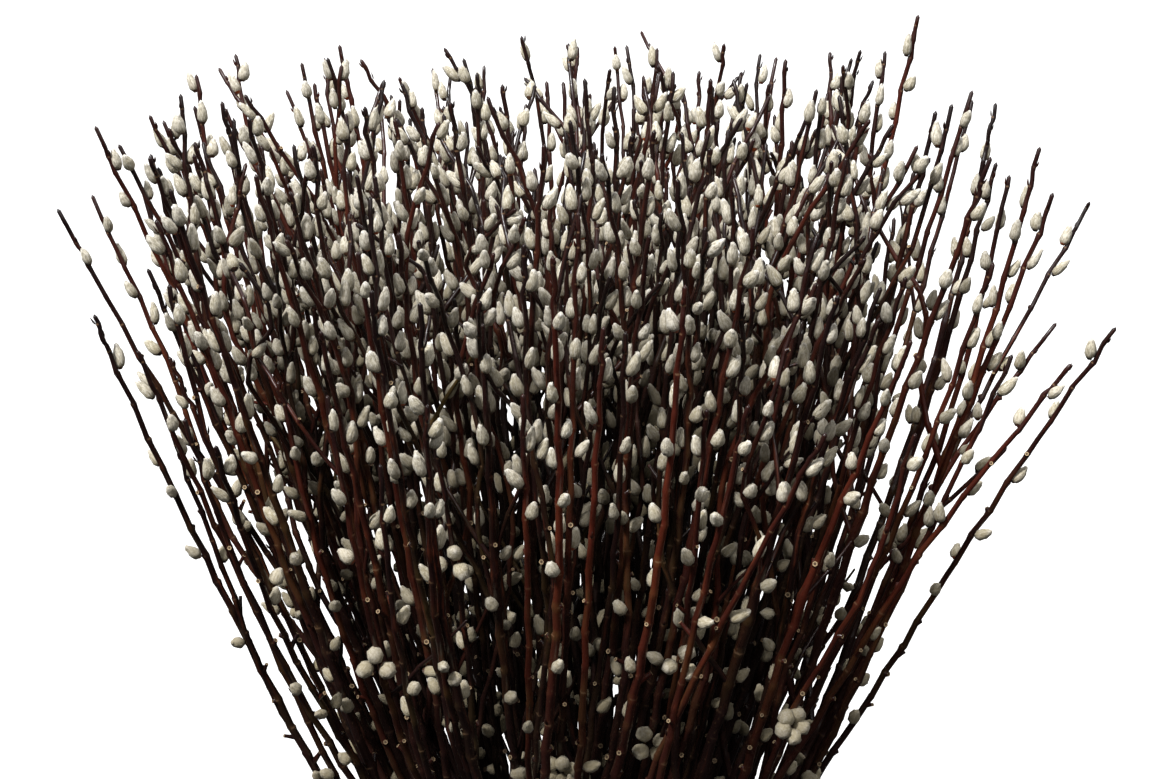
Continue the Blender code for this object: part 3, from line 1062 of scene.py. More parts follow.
def turnedRings(base, axis, across, profile, sides, flat=1):
    # rings round an axis, one for each pair of place along it and radius
    upright = np.cross(axis, across)
    rings = []
    for place, radius in profile:
        for number in range(sides):
            angle = 2 * math.pi * number / sides
            out = across * math.cos(angle) * flat + upright * math.sin(angle)
            rings.append(base + axis * place + out * radius)
    return np.array(rings)


def addSmallPart(skin, points, faces, middle, age, tone):
    # a stub, scar or bud, in plain bark
    count = len(points)
    around = np.stack([points[:, 0] - middle.x, points[:, 1] - middle.y, points[:, 2]], axis=1)
    skin.add(
        points, faces, 0, rodPlace=around, nodePlace=np.tile((1.0, 1.0, 0.0), (count, 1)),
        rodAge=np.full(count, age), rodTone=np.full(count, tone),
    )


stubs = {
    "seed": 8,
    "perStem": 2,
    "length": (0.004, 0.011),
    "radius": (0.0012, 0.0019),
    "widest": 0.6,                # as a share of the stem's radius
    "lean": (30, 55),
    "pastNode": 0.012,
    "fromBud": 1.2,               # radians round from the node's bud
    "rootRoom": 0.06,
    "tipRoom": 0.10,
    "age": 0.5,
    "sides": 6,
}


def addStub(skin, rng, stem, arc, turn, tone):
    # what is left of a twig that was cut off
    point, heading, radius = stemAt(stem, arc)
    side = sideOf(heading, turn)
    lean = math.radians(rng.uniform(*stubs["lean"]))
    axis = heading * math.cos(lean) + side * math.sin(lean)
    length = radius + rng.uniform(*stubs["length"])
    wide = min(rng.uniform(*stubs["radius"]), radius * stubs["widest"])
    sides = stubs["sides"]
    profile = ((0, 1.5), (radius / length * 0.9, 1.4), (0.75, 1.0), (1.0, 1.02))
    places = [(length * share, wide * size) for share, size in profile]
    line = np.array(axis)
    points = turnedRings(np.array(point), line, np.array(sideOf(axis, 0)), places, sides)
    addSmallPart(skin, points, ringFaces(len(places), sides), point, stubs["age"], tone)
    rim = points[-sides:]
    cutFace(skin, rim, rim.mean(axis=0) + line * cutEnds["stubDepth"], tone)


scars = {
    "share": 0.36,
    "radius": (0.0012, 0.0019),
    "widest": 0.8,
    "height": 0.0006,
    "seat": 1.02,
    "root": 1.3,                  # depth and width of its foot, as shares of its radius
    "rootWidth": 1.5,
    "tilt": 35,
    "age": 0.6,
    "sides": 6,
}


def addScar(skin, rng, stem, node, tone):
    # a round scar with a pale rim, where a catkin or a leaf fell off
    point, heading, radius = stemAt(stem, node.arc)
    side = sideOf(heading, node.turn)
    tilt = math.radians(scars["tilt"])
    axis = np.array(side * math.cos(tilt) + heading * math.sin(tilt))
    wide = min(rng.uniform(*scars["radius"]), radius * scars["widest"])
    base = np.array(point + side * radius * scars["seat"])
    places = ((-wide * scars["root"], wide * scars["rootWidth"]), (scars["height"], wide))
    sides = scars["sides"]
    points = turnedRings(base, axis, np.array(sideOf(Vector(axis), 0)), places, sides)
    addSmallPart(skin, points, ringFaces(len(places), sides), point, scars["age"], tone)
    rim = points[-sides:]
    cutFace(skin, rim, rim.mean(axis=0) - axis * cutEnds["scarDepth"], tone)


closedBuds = {
    "length": (0.0035, 0.0060),
    "width": (0.0016, 0.0024),
    "lean": 14,
    "seat": 0.8,
    "flat": 0.7,
    "profile": ((0.0, 0.55), (0.3, 1.0), (0.7, 0.6), (1.0, 0.08)),
    "tipRun": 0.03,               # every node this near the tip has one
    "share": 0.10,                # and this share of the others
    "age": 0.12,
    "dark": 0.6,
    "sides": 5,
}


def addClosedBud(skin, rng, stem, node, tone):
    # a small closed bud that lies against the stem
    point, heading, radius = stemAt(stem, node.arc)
    side = sideOf(heading, node.turn)
    lean = math.radians(closedBuds["lean"])
    axis = np.array(heading * math.cos(lean) + side * math.sin(lean))
    length = rng.uniform(*closedBuds["length"])
    wide = rng.uniform(*closedBuds["width"]) / 2
    base = np.array(point + side * radius * closedBuds["seat"])
    places = [(length * share, wide * size) for share, size in closedBuds["profile"]]
    sides = closedBuds["sides"]
    points = turnedRings(base, axis, np.array(side), places, sides, closedBuds["flat"])
    faces = ringFaces(len(places), sides)
    faces.append(tuple(range(len(points) - sides, len(points))))
    addSmallPart(skin, points, faces, point, closedBuds["age"], tone * closedBuds["dark"])


# Furry catkins

fur = {
    "seed": 19,
    "kinds": 6,
    "roundKinds": 3,
    "roundBelow": 1.22,           # catkins no longer than this many widths are round
    "sides": 7,
    "rings": (0.0, 0.09, 0.115, 0.23, 0.40, 0.58, 0.75, 0.88, 0.95),
    "profile": (0.34, 0.58, 0.70, 0.95, 1.0, 0.89, 0.66, 0.42, 0.29),
    "roundProfile": (0.34, 0.55, 0.66, 0.86, 1.0, 1.0, 0.88, 0.66, 0.44),
    "scaleTop": 0.11,             # smooth bud scale below this share of the length
    "grooveTurns": 6.28,
    "groove": 0.06,
    "ruffle": 0.07,
    "ringRuffle": 0.012,
    "ruffleEnd": 0.95,
    "blunt": (0.9, 1.15),
    "bluntStart": 0.5,
    "bend": 0.07,
    "firstTuft": 3,
    "tufts": (5, 10),             # on a long one and on a round one
    "tuftHeight": (0.06, 0.08),
    "tuftRun": 0.05,
    "tuftFromAxis": 0.1,
    # where the fur turns creamy and darker, the darkening being painted shade
    "warmAndShadeHeights": (0.62, 0.92),
    "patternScale": 1000,
    "patternShift": 50,
}


def furShape(rng, profile, tufts, tuftHeight):
    sides = fur["sides"]
    rings = len(fur["rings"])
    angles = 2 * math.pi * np.arange(sides) / sides
    points = []
    phase = rng.uniform(0, fur["grooveTurns"])
    bend = rng.uniform(-1, 1) * fur["bend"]
    blunt = rng.uniform(*fur["blunt"])
    for share, size in zip(fur["rings"], profile):
        if share > fur["bluntStart"]:
            size = size ** (1 / blunt)
        sway = bend * math.sin(math.pi * share)
        for angle in angles:
            reach = size
            lift = share
            if share > fur["scaleTop"]:
                wave = fur["groove"] * math.cos(2 * angle + phase + share)
                reach = size * (1 + wave + rng.uniform(-1, 1) * fur["ruffle"])
                if share < fur["ruffleEnd"]:
                    lift += rng.uniform(-1, 1) * fur["ringRuffle"]
            points.append((math.cos(angle) * reach / 2 + sway, math.sin(angle) * reach / 2, lift))
    points.append((0, 0, 1.0))
    shares = [share for share in fur["rings"] for _ in range(sides)] + [1.0]
    walls = ringFaces(rings, sides)
    furry = walls[fur["firstTuft"] * sides:]
    tufted = set(rng.sample(furry, tufts))
    faces = [face for face in walls if face not in tufted]
    for face in sorted(tufted):
        # a tuft of hair is a small point raised from one face
        corners = np.array([points[corner] for corner in face])
        top = corners.mean(axis=0)
        top[:2] *= 1 + tuftHeight / max(np.hypot(*top[:2]), fur["tuftFromAxis"])
        top[2] += fur["tuftRun"]
        faces += [(*pair, len(points)) for pair in zip(face, face[1:] + face[:1])]
        shares.append(float(np.mean([shares[corner] for corner in face])) + fur["tuftRun"])
        points.append(tuple(top))
    faces += tipFaces(rings, sides)
    faces.append(tuple(reversed(range(sides))))
    return np.array(points), faces, np.array(shares)


def addCatkin(skin, rng, shape, catkin):
    points, faces, shares = shape
    sized = points * (catkin.width, catkin.width, catkin.length)
    spin = Matrix.Rotation(rng.uniform(0, 2 * math.pi), 3, "Z")
    facing = np.array(catkin.axis.to_track_quat("Z", "Y").to_matrix() @ spin)
    placed = sized @ facing.T + np.array(catkin.base)
    shift = np.array([rng.uniform(0, fur["patternShift"]) for _ in range(3)])
    skin.add(
        placed, faces, 0, furPlace=sized * fur["patternScale"] + shift, furShare=shares,
        furTone=np.full(len(points), rng.random()),
        furWarmth=np.interp(placed[:, 2], fur["warmAndShadeHeights"], (1, 0)),
    )


# Finishes

class Wire:
    # a node's output that can be used in sums

    def __init__(self, finish, socket):
        self.finish = finish
        self.socket = socket

    def sum(self, operation, *values):
        sockets = dict(enumerate(values))
        return self.finish.node("ShaderNodeMath", {"operation": operation}, sockets)

    def __add__(self, other):
        return self.sum("ADD", self, other)

    def __sub__(self, other):
        return self.sum("SUBTRACT", self, other)

    def __mul__(self, other):
        return self.sum("MULTIPLY", self, other)

    def __rsub__(self, other):
        return self.sum("SUBTRACT", other, self)

    __radd__ = __add__
    __rmul__ = __mul__


class Nodes:
    # adds nodes to one tree

    def __init__(self, tree):
        self.tree = tree

    def feed(self, socket, value):
        if isinstance(value, Wire):
            self.tree.links.new(value.socket, socket)
        else:
            socket.default_value = value

    def node(self, kind, settings=None, sockets=None, output=0):
        node = self.tree.nodes.new(kind)
        for key, value in (settings or {}).items():
            setattr(node, key, value)
        for key, value in (sockets or {}).items():
            self.feed(node.inputs[key], value)
        return Wire(self, node.outputs[output])

    def mark(self, name, vector=False):
        return self.node("ShaderNodeAttribute", {"attribute_name": name}, output=1 if vector else 2)

    def stretch(self, vector, scale):
        return self.node("ShaderNodeVectorMath", {"operation": "MULTIPLY"}, {0: vector, 1: scale})

    def split(self, vector):
        node = self.node("ShaderNodeSeparateXYZ", sockets={0: vector}).socket.node
        return [Wire(self, socket) for socket in node.outputs]

    def noise(self, vector, detail=2.0, rough=0.5):
        sockets = {"Vector": vector, "Scale": 1.0, "Detail": detail, "Roughness": rough}
        return self.node("ShaderNodeTexNoise", None, sockets)

    def clip(self, value, low, high, first=0.0, last=1.0):
        # takes low..high smoothly to first..last
        settings = {"interpolation_type": "SMOOTHSTEP"}
        sockets = {0: value, 1: low, 2: high, 3: first, 4: last}
        return self.node("ShaderNodeMapRange", settings, sockets)

    def mix(self, share, first, second):
        colours = [(*colour, 1) if isinstance(colour, tuple) else colour for colour in (first, second)]
        sockets = {0: share, 6: colours[0], 7: colours[1]}
        return self.node("ShaderNodeMix", {"data_type": "RGBA"}, sockets, output=2)


class Finish(Nodes):
    # one material, built node by node round its shader

    def __init__(self, name, **fixed):
        self.material = bpy.data.materials.new(name)
        self.material.use_nodes = True
        super().__init__(self.material.node_tree)
        self.shader = self.tree.nodes["Principled BSDF"]
        for socket, value in fixed.items():
            self.shader.inputs[socket.replace("_", " ")].default_value = value

    def colour(self, wire):
        self.feed(self.shader.inputs["Base Color"], wire)

    def roughness(self, wire):
        self.feed(self.shader.inputs["Roughness"], wire)

    def bump(self, height, strength, distance):
        sockets = {"Height": height, "Strength": strength, "Distance": distance}
        self.feed(self.shader.inputs["Normal"], self.node("ShaderNodeBump", None, sockets))


barkLook = {
    "shine": 0.38,
    "streakSizes": (420, 420, 38),
    "blotchSizes": (90, 90, 16),
    "fineSizes": (1500, 1500, 260),
    "poreSizes": (330, 330, 210),
    "black": (0.015, 0.0042, 0.0036),
    "red": (0.112, 0.0182, 0.0088),
    "streakAndHighlight": (0.20, 0.044, 0.018),
    "crack": (0.010, 0.004, 0.0036),
    "thin": (0.014, 0.0065, 0.006),
    "tip": (0.010, 0.005, 0.005),
    "old": (0.029, 0.0115, 0.0105),
    "olive": (0.15, 0.105, 0.028),
    "ledge": (0.30, 0.17, 0.085),
    "pore": (0.24, 0.13, 0.065),
    "paintedShade": (0.0085, 0.0045, 0.0036),
}


def barkFinish():
    look = barkLook
    finish = Finish("willow_bark", Specular_IOR_Level=look["shine"])
    place = finish.mark("rodPlace", vector=True)
    above, below, facing = finish.split(finish.mark("nodePlace", vector=True))
    tone = finish.mark("rodTone")
    age = finish.mark("rodAge")
    streaks = finish.noise(finish.stretch(place, look["streakSizes"]), 3.0, 0.6)
    blotches = finish.noise(finish.stretch(place, look["blotchSizes"]), 2.0)
    fine = finish.noise(finish.stretch(place, look["fineSizes"]), 2.0)
    # dark red-brown, each rod a little redder or blacker
    red = finish.clip(tone + (blotches - 0.5) * 0.9, 0.15, 0.95)
    colour = finish.mix(red, look["black"], look["red"])
    # lengthwise streaks, partly the bark's own paler streaks and partly painted highlight
    colour = finish.mix(finish.clip(streaks, 0.52, 0.72) * 0.55, colour, look["streakAndHighlight"])
    colour = finish.mix(finish.clip(streaks, 0.30, 0.46, 0.6, 0.0), colour, look["crack"])
    # near black towards the thin tips
    colour = finish.mix(finish.clip(age, 0.03, 0.45, 0.48, 0.0), colour, look["thin"])
    colour = finish.mix(finish.clip(age, 0.02, 0.14, 0.6, 0.0), colour, look["tip"])
    # browner and darker on the old thick parts
    colour = finish.mix(finish.clip(age, 0.35, 0.85, 0.0, 0.74), colour, look["old"])
    # olive skin round the nodes, and all over some twigs
    nearNode = finish.clip(above + below, 0.35, 1.0, 1.0, 0.0)
    olive = nearNode * finish.clip(blotches, 0.42, 0.62) * finish.clip(age, 0.15, 0.5)
    olive = olive * finish.clip(age, 0.5, 0.9, 0.25, 0.04) + finish.clip(tone, 1.2, 1.8) * 0.8
    colour = finish.mix(olive, colour, look["olive"])
    # the thin pale edge of the ledge under each bud
    edge = finish.clip(facing, 0.0, 0.5) * finish.clip(below, 0.06, 0.17, 1.0, 0.0)
    edge = edge * finish.clip(above, 0.03, 0.12, 1.0, 0.0) * finish.clip(blotches, 0.42, 0.56, 0.25, 1.0)
    colour = finish.mix(edge * 0.6, colour, look["ledge"])
    # pale pores
    sockets = {"Vector": finish.stretch(place, look["poreSizes"]), "Scale": 1.0, "Randomness": 1.0}
    pores = finish.node("ShaderNodeTexVoronoi", {"feature": "F1"}, sockets)
    spots = finish.clip(pores, 0.13, 0.2, 1.0, 0.0) * finish.clip(age, 0.3, 0.8)
    colour = finish.mix(spots * 0.4, colour, look["pore"])
    # painted shade: nearly black deep between the rods
    finish.colour(finish.mix(finish.mark("daylight"), look["paintedShade"], colour))
    finish.roughness(finish.clip(fine, 0.3, 0.7, 0.24, 0.42) + edge * 0.3)
    finish.bump(fine * 0.35 + streaks * 0.5 + spots * 0.5, 0.35, 0.0006)
    return finish.material


cutLook = {
    "shine": 0.3,
    "grainSizes": (900, 900, 900),
    "wood": (0.46, 0.32, 0.17),
    "paleWood": (0.66, 0.50, 0.30),
    "rim": (0.10, 0.045, 0.02),
    "pith": (0.05, 0.024, 0.012),
    "paintedShade": (0.05, 0.03, 0.016),
}


def cutFinish():
    look = cutLook
    finish = Finish("cut_wood", Specular_IOR_Level=look["shine"])
    place = finish.mark("rodPlace", vector=True)
    share = finish.mark("rodAge")
    grain = finish.noise(finish.stretch(place, look["grainSizes"]), 3.0)
    colour = finish.mix(grain, look["wood"], look["paleWood"])
    colour = finish.mix(finish.clip(share, 0.90, 1.0), colour, look["rim"])
    colour = finish.mix(finish.clip(share, 0.50, 0.72, 0.92, 0.0), colour, look["pith"])
    # painted shade: darker where little light gets in between the rods
    finish.colour(finish.mix(finish.mark("daylight"), look["paintedShade"], colour))
    finish.roughness(finish.clip(grain, 0.2, 0.8, 0.7, 0.9))
    finish.bump(grain, 0.3, 0.0004)
    return finish.material


furLook = {
    "shine": 0.2,
    "sheen": 0.16,
    "sheenRoughness": 0.45,
    "sheenColour": (0.95, 0.94, 0.9, 1),
    "hairSizes": (1.7, 1.7, 0.24),
    "tuftSizes": (0.75, 0.75, 0.36),
    "grey": (0.60, 0.545, 0.41),
    "silver": (0.88, 0.82, 0.69),
    "tip": (0.96, 0.92, 0.85),
    "foot": (0.27, 0.22, 0.13),
    "hollow": (0.25, 0.21, 0.13),
    "hair": (0.97, 0.93, 0.84),
    "parting": (0.20, 0.165, 0.095),
    "creamAndShade": (0.40, 0.325, 0.18),
    "darkScale": (0.030, 0.012, 0.008),
    "brownScale": (0.11, 0.045, 0.018),
    "orangeScale": (0.42, 0.085, 0.018),
    "paintedShade": (0.165, 0.136, 0.084),
}


def furFinish():
    look = furLook
    finish = Finish(
        "catkin_fur", Specular_IOR_Level=look["shine"], Sheen_Weight=look["sheen"],
        Sheen_Roughness=look["sheenRoughness"], Sheen_Tint=look["sheenColour"],
    )
    place = finish.mark("furPlace", vector=True)
    share = finish.mark("furShare")
    tone = finish.mark("furTone")
    hairs = finish.noise(finish.stretch(place, look["hairSizes"]), 4.0, 0.7)
    tufts = finish.noise(finish.stretch(place, look["tuftSizes"]), 2.0)
    # silver, paler at the tip, partly its own colour and partly a painted highlight, darker at the foot,
    # partly its own colour and partly painted shade, and darker between the hairs
    silver = finish.mix(tone, look["grey"], look["silver"])
    silver = finish.mix(finish.clip(share, 0.78, 0.95, 0.0, 0.9), silver, look["tip"])
    silver = finish.mix(finish.clip(share, 0.12, 0.52, 0.64, 0.0), silver, look["foot"])
    silver = finish.mix(finish.clip(tufts, 0.38, 0.62, 0.55, 0.0), silver, look["hollow"])
    silver = finish.mix(finish.clip(hairs, 0.50, 0.68, 0.0, 0.85), silver, look["hair"])
    silver = finish.mix(finish.clip(hairs, 0.32, 0.48, 0.6, 0.0), silver, look["parting"])
    # creamy and darker on the round ones further down: the cream is their own colour, the darkening is
    # painted shade
    silver = finish.mix(finish.mark("furWarmth") * 0.62, silver, look["creamAndShade"])
    # the bud scale at the foot, brown and now and then orange
    scale = finish.clip(share, 0.10, 0.115, 1.0, 0.0)
    brown = finish.mix(finish.clip(tone, 0.0, 0.9), look["darkScale"], look["brownScale"])
    brown = finish.mix(finish.clip(tone, 0.90, 0.93), brown, look["orangeScale"])
    # painted shade: dim and greenish deep between the rods
    silver = finish.mix(finish.mark("daylight"), look["paintedShade"], silver)
    finish.colour(finish.mix(scale, silver, brown))
    finish.roughness(1 - scale * 0.5)
    finish.bump(hairs + tufts * 0.8, 0.6, 0.0011)
    return finish.material


barkMaterial = barkFinish()
cutMaterial = cutFinish()
furMaterial = furFinish()


# The branches

def growRods(branch, rng, toneRng):
    # the rods and spurs of one branch, with their stubs, buds and scars
    skin = Skin()
    mine = [stem for stem in allStems if stem.branch == branch]
    trunk = mine[0]
    branchTone = toneRng.uniform(*bark["tones"])
    for stem in mine:
        tone = min(max(branchTone + toneRng.uniform(*bark["toneSpread"]), 0), 1)
        if stem.owner >= firstSpur and toneRng.random() < bark["oliveSpurs"]:
            tone = bark["oliveTone"]
        nodes = stemNodes[stem.owner]
        forks = [0]
        if stem is trunk:
            forks = [np.interp(other.heights[0], trunk.heights, trunk.arcs) for other in mine[1:]]
        barkStem(skin, stem, nodes, tone, forks, stem is trunk)
        length = stem.arcs[-1]
        for _ in range(stubs["perStem"]):
            node = rng.choice(nodes) if nodes else None
            if node and stubs["rootRoom"] < node.arc < length - stubs["tipRoom"]:
                place = node.arc + stubs["pastNode"]
                addStub(skin, rng, stem, place, node.turn + stubs["fromBud"], tone)
        for node in nodes:
            if node.arc > length - closedBuds["tipRun"] or rng.random() < closedBuds["share"]:
                addClosedBud(skin, rng, stem, node, tone)
            elif not node.full and rng.random() < scars["share"]:
                addScar(skin, rng, stem, node, tone)
    return skin


def growCatkins(branch, rng):
    skin = Skin()
    for catkin in allCatkins:
        if catkin.branch == branch:
            isRound = catkin.length < catkin.width * fur["roundBelow"]
            addCatkin(skin, rng, rng.choice(roundShapes if isRound else longShapes), catkin)
    return skin


print("covering the branches")
toneRng = random.Random(bark["seed"])
furRng = random.Random(fur["seed"])
stubRng = random.Random(stubs["seed"])
longTufts, roundTufts = zip(fur["tufts"], fur["tuftHeight"])
longShapes = [furShape(furRng, fur["profile"], *longTufts) for _ in range(fur["kinds"])]
roundShapes = [furShape(furRng, fur["roundProfile"], *roundTufts) for _ in range(fur["roundKinds"])]
triangles = 0
for branch in range(bunch["branches"]):
    name = f"branch_{branch + 1:02d}"
    rodsSkin = growRods(branch, stubRng, toneRng)
    rodsPiece = rodsSkin.make(name + "_rods", [barkMaterial, cutMaterial])
    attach(rodsPiece, "root")
    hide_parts(name)
    catkinsSkin = growCatkins(branch, furRng)
    catkinsPiece = catkinsSkin.make(name + "_catkins", [furMaterial])
    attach(catkinsPiece, "root")
    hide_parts(name)
    triangles += rodsSkin.triangles() + catkinsSkin.triangles()
print(triangles, "triangles on the branches")


# The twine, two strands laid together, wound round the rods and knotted in front

twine = {
    "seed": 3,
    "radius": 0.0020,
    "pitch": 0.0045,
    "turns": 3,
    "steps": 120,                 # in one turn
    "stand": 0.0009,
    "side": -90,                  # degrees round the axis, where the knot is
    "knotOut": 0.0048,
    "loops": ((-0.0021, 0.28), (0.0021, -0.28)),   # place and tilt of the knot's two loops
    "loopSize": (0.0042, 0.0094),
    "loopSteps": 32,
    "barOut": 0.0034,             # the turn that lies across the loops
    "barSize": (0.0052, 0.0030, 0.0012),
    "barSteps": 24,
    "tailOut": 0.002,
    "tailLength": 0.030,
    "tailDrop": (0.45, -0.35, -0.82),
    "tailBow": (0.004, -0.004, 0.0),
    "tailBowRun": 0.85,
    "tailBehind": 0.02,
    "tailSteps": 12,
}

strands = {
    "radius": 0.00118,
    "sides": 6,
    "lay": 0.0075,                # length of one twist
    "step": 0.0011,
    "soften": 3,
    "patternTurn": 0.5,
    "patternScale": 300,
    "patternShift": 9,
}

fibres = {
    "radius": 0.00012,
    "sides": 3,
    "taper": 0.4,
    "patternScale": 900,
    "endCount": 9,
    "endLength": (0.0025, 0.0060),
    "endSpread": 0.45,
    "endShift": 0.0008,
    "endBend": 0.002,
    "looseCount": 150,
    "looseLength": (0.002, 0.0045),
    "looseLift": (0.3, 1),
    "looseSeat": 0.7,
    "looseShift": 0.001,
}


def rimPoint(spot, radius, height, out):
    slant = Vector((-spot.y, spot.x, 0)) * bunch["fanSlope"] / bunch["tieRadius"]
    lean = slant.dot(out)
    return fan(spot, height) + (out + slant * lean) * radius / math.sqrt(1 + lean * lean)


def windingPath():
    points = []
    for step in range(twine["turns"] * twine["steps"] + 1):
        turns = step / twine["steps"]
        angle = math.radians(twine["side"]) + 2 * math.pi * turns
        height = bunch["tieHeight"] + twine["pitch"] * (turns - twine["turns"] / 2)
        out = Vector((math.cos(angle), math.sin(angle), 0))
        rims = [rimPoint(spot, radius, height, out) for spot, radius in zip(tieSpots, tieRadii)]
        points.append(max(rims, key=out.dot) + out * (twine["radius"] + twine["stand"]))
    return points


def evenly(path, step):
    points = np.array([tuple(point) for point in path])
    arcs = np.concatenate([[0], np.cumsum(np.linalg.norm(np.diff(points, axis=0), axis=1))])
    places = np.linspace(0, arcs[-1], int(arcs[-1] / step) + 2)
    soft = np.stack([np.interp(places, arcs, points[:, axis]) for axis in range(3)], axis=1)
    for _ in range(strands["soften"]):
        soft[1:-1] = soft[1:-1] * 0.5 + (soft[:-2] + soft[2:]) * 0.25
    return soft, places


def layTwine(skin, path, middle):
    # two strands that wind round each other along the path
    points, places = evenly(path, strands["step"])
    tangents = np.gradient(points, axis=0)
    tangents /= np.linalg.norm(tangents, axis=1)[:, None]
    outward = points - np.array(middle)
    outward -= tangents * (outward * tangents).sum(axis=1)[:, None]
    outward /= np.linalg.norm(outward, axis=1)[:, None]
    across = np.cross(tangents, outward)
    sides = strands["sides"]
    angles = 2 * math.pi * np.arange(sides) / sides
    lengths = np.repeat(places, sides) * strands["patternScale"]
    for strand in range(2):
        turn = 2 * math.pi * places / strands["lay"] + math.pi * strand
        away = outward * np.cos(turn)[:, None] + across * np.sin(turn)[:, None]
        centres = points + away * (twine["radius"] - strands["radius"])
        ring = spokes(away, np.cross(tangents, away), angles)
        skinPoints = (centres[:, None] + ring * strands["radius"]).reshape(-1, 3)
        faces = ringFaces(len(places), sides)
        faces.append(tuple(reversed(range(sides))))
        faces.append(tuple(range(len(skinPoints) - sides, len(skinPoints))))
        around = np.tile(angles, len(places)) + np.repeat(turn, sides) * strands["patternTurn"]
        ends = lengths + strand * strands["patternShift"]
        skin.add(
            skinPoints, faces, 0, twinePlace=np.stack([np.cos(around), np.sin(around), ends], axis=1),
            twineOutside=np.tile(np.cos(angles), len(places)),
        )
    return points, tangents, outward


def addFibre(skin, start, aim, length, bend):
    start, aim, bend = Vector(start), Vector(aim).normalized(), Vector(bend)
    across = sideOf(aim, 0)
    upright = aim.cross(across)
    rings = []
    for share in (0, 0.5):
        for number in range(fibres["sides"]):
            angle = 2 * math.pi * number / fibres["sides"]
            out = across * math.cos(angle) + upright * math.sin(angle)
            middle = start + aim * length * share + bend * share ** 2
            rings.append(middle + out * fibres["radius"] * (1 - share * fibres["taper"]))
    rings.append(start + aim * length + bend)
    points = np.array([tuple(point) for point in rings])
    faces = ringFaces(2, fibres["sides"]) + tipFaces(2, fibres["sides"])
    faces.append(tuple(reversed(range(fibres["sides"]))))
    place = points * fibres["patternScale"]
    skin.add(points, faces, 0, twinePlace=place, twineOutside=np.ones(len(points)))


def knotLoop(middle, place, tilt):
    # an upright loop round the turns of twine, tilted to one side
    far, high = twine["loopSize"]
    points = []
    for step in range(twine["loopSteps"] + 1):
        angle = 2 * math.pi * step / twine["loopSteps"]
        rise = math.sin(angle) * high
        points.append(middle + Vector((place + rise * tilt, -math.cos(angle) * far, rise)))
    return points


def knotBar(middle):
    wide, far, high = twine["barSize"]
    points = []
    for step in range(twine["barSteps"] + 1):
        angle = 2 * math.pi * step / twine["barSteps"]
        sway = Vector((math.cos(angle) * wide, math.sin(angle) * far, math.sin(2 * angle) * high))
        points.append(middle + sway)
    return points


def looseEnd(start, side):
    mirror = Vector((side, 1, 1))
    drop = Vector(twine["tailDrop"]) * mirror * twine["tailLength"]
    bow = Vector(twine["tailBow"]) * mirror
    points = []
    for step in range(twine["tailSteps"] + 1):
        share = step / twine["tailSteps"]
        points.append(start + drop * share + bow * math.sin(math.pi * share * twine["tailBowRun"]))
    return points


def buildTwine():
    rng = random.Random(twine["seed"])
    skin = Skin()
    turns = windingPath()
    wound, headings, outward = layTwine(skin, turns, (0, 0, bunch["tieHeight"]))
    angle = math.radians(twine["side"])
    out = Vector((math.cos(angle), math.sin(angle), 0))
    middle = (turns[0] + turns[-1]) / 2 + out * (twine["knotOut"] - twine["radius"])
    for place, tilt in twine["loops"]:
        layTwine(skin, knotLoop(middle, place, tilt), middle)
    layTwine(skin, knotBar(middle + out * twine["barOut"]), middle)
    for side in (-1, 1):
        path = looseEnd(middle + out * twine["tailOut"], side)
        points, tangents, _ = layTwine(skin, path, middle - out * twine["tailBehind"])
        shift = fibres["endShift"]
        wide = fibres["endSpread"]
        for _ in range(fibres["endCount"]):
            spread = Vector([rng.uniform(-wide, wide) for _ in range(3)])
            length = rng.uniform(*fibres["endLength"])
            start = points[-1] + np.array([rng.uniform(-shift, shift) for _ in range(3)])
            addFibre(skin, start, Vector(tangents[-1]) + spread, length, spread * fibres["endBend"])
    shift = fibres["looseShift"]
    for _ in range(fibres["looseCount"]):
        at = rng.randrange(len(wound))
        aim = outward[at] * rng.uniform(*fibres["looseLift"]) + headings[at] * rng.choice((-1, 1))
        start = wound[at] + outward[at] * twine["radius"] * fibres["looseSeat"]
        start[2] += rng.uniform(-shift, shift)
        length = rng.uniform(*fibres["looseLength"])
        addFibre(skin, start, aim, length, (0, 0, rng.uniform(-shift, shift)))
    piece = skin.make("tie_twine_wound", [twineFinish()])
    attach(piece, "root")
    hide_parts("tie_twine")
    return skin.triangles()


twineLook = {
    "shine": 0.2,
    "sheen": 0.2,
    "sheenRoughness": 0.5,
    "fibreSizes": (4.5, 4.5, 1.1),
    "patchSizes": (0.6, 0.6, 0.12),
    "brown": (0.36, 0.235, 0.115),
    "straw": (0.55, 0.41, 0.235),
    "pale": (0.72, 0.58, 0.37),
    "parting": (0.17, 0.10, 0.045),
    "grooveShade": (0.11, 0.06, 0.028),
}


def twineFinish():
    look = twineLook
    finish = Finish(
        "jute_twine", Specular_IOR_Level=look["shine"],
        Sheen_Weight=look["sheen"], Sheen_Roughness=look["sheenRoughness"],
    )
    place = finish.mark("twinePlace", vector=True)
    outside = finish.mark("twineOutside")
    fibre = finish.noise(finish.stretch(place, look["fibreSizes"]), 4.0, 0.65)
    patches = finish.noise(finish.stretch(place, look["patchSizes"]), 2.0)
    colour = finish.mix(patches, look["brown"], look["straw"])
    colour = finish.mix(finish.clip(fibre, 0.52, 0.70, 0.0, 0.7), colour, look["pale"])
    colour = finish.mix(finish.clip(fibre, 0.30, 0.46, 0.7, 0.0), colour, look["parting"])
    # painted shade in the groove where the two strands lie against each other
    colour = finish.mix(finish.clip(outside, -0.9, 0.2, 0.7, 0.0), colour, look["grooveShade"])
    finish.colour(colour)
    finish.roughness(finish.clip(fibre, 0.3, 0.7, 0.98, 0.84))
    finish.bump(fibre + patches * 0.3, 0.8, 0.0007)
    return finish.material


print("winding the twine")
print(buildTwine(), "triangles in the twine")


# The studio

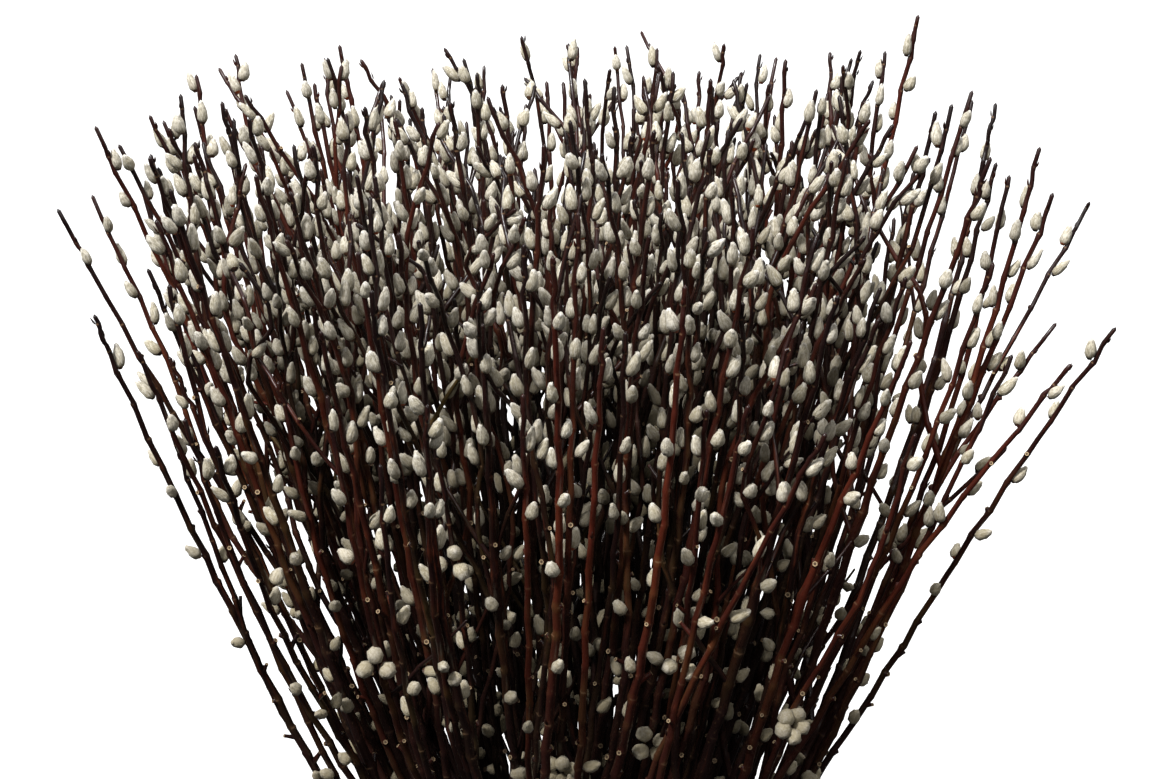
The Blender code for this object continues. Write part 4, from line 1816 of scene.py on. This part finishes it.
studio = {
    "floorSize": 60,
    "floorColour": (0.76, 0.76, 0.76, 1),
    "floorRoughness": 0.9,
    "skyLight": 0.56,
    "horizonLight": 0.02,
    "skyHeights": (-0.05, 0.7),
    "keyLight": 4.7,
    "keyAngle": 10,
    "keyFrom": (-0.55, -0.68, 1.05),
    "frontLight": 0.35,
    "frontAngle": 12,
    "frontFrom": (0.35, -1.0, 0.45),
    "backLight": 1.6,
    "backAngle": 40,
    "backFrom": (0.7, 1.0, 1.1),
    "aim": (-0.004, 0.0, 0.80),
    "distance": 1.60,
    "elevation": 15,
    "lens": 74.7,
    "sensor": 36,
    "farthest": 100,
}


def addSun(name, energy, angle, place):
    sun = bpy.data.lights.new(name, "SUN")
    sun.energy = energy
    sun.angle = math.radians(angle)
    lamp = bpy.data.objects.new(name, sun)
    lamp.rotation_euler = Vector(place).to_track_quat("Z", "Y").to_euler()
    bpy.context.scene.collection.objects.link(lamp)


def buildStudio():
    scene = bpy.context.scene
    half = studio["floorSize"] / 2
    mesh = bpy.data.meshes.new("floor")
    corners = [(-half, -half, 0), (half, -half, 0), (half, half, 0), (-half, half, 0)]
    mesh.from_pydata(corners, [], [(0, 1, 2, 3)])
    floor = bpy.data.objects.new("floor", mesh)
    look = {"Base_Color": studio["floorColour"], "Roughness": studio["floorRoughness"]}
    mesh.materials.append(Finish("pale_floor", Specular_IOR_Level=0.0, **look).material)
    floor.visible_diffuse = False
    floor.visible_glossy = False
    scene.collection.objects.link(floor)

    # plain white behind, and soft light that comes from above only
    world = bpy.data.worlds.new("studio")
    world.use_nodes = True
    sky = Nodes(world.node_tree)
    up = sky.split(sky.node("ShaderNodeTexCoord"))[2]
    soft = sky.clip(up, *studio["skyHeights"], studio["horizonLight"], studio["skyLight"])
    seen = sky.node("ShaderNodeLightPath")
    strength = soft + seen * (1 - soft)
    sky.feed(world.node_tree.nodes["Background"].inputs["Color"], (1, 1, 1, 1))
    sky.feed(world.node_tree.nodes["Background"].inputs["Strength"], strength)
    scene.world = world

    addSun("key", studio["keyLight"], studio["keyAngle"], studio["keyFrom"])
    addSun("front", studio["frontLight"], studio["frontAngle"], studio["frontFrom"])
    addSun("back", studio["backLight"], studio["backAngle"], studio["backFrom"])

    lens = bpy.data.cameras.new("camera")
    lens.lens = studio["lens"]
    lens.sensor_width = studio["sensor"]
    lens.clip_end = studio["farthest"]
    camera = bpy.data.objects.new("camera", lens)
    rise = math.radians(studio["elevation"])
    away = Vector((0, -math.cos(rise), math.sin(rise))) * studio["distance"]
    camera.location = Vector(studio["aim"]) + away
    camera.rotation_euler = away.to_track_quat("Z", "Y").to_euler()
    scene.collection.objects.link(camera)
    scene.camera = camera
    scene.view_settings.view_transform = "Standard"
    scene.view_settings.look = "None"


print("setting up the floor, the light and the camera")
buildStudio()
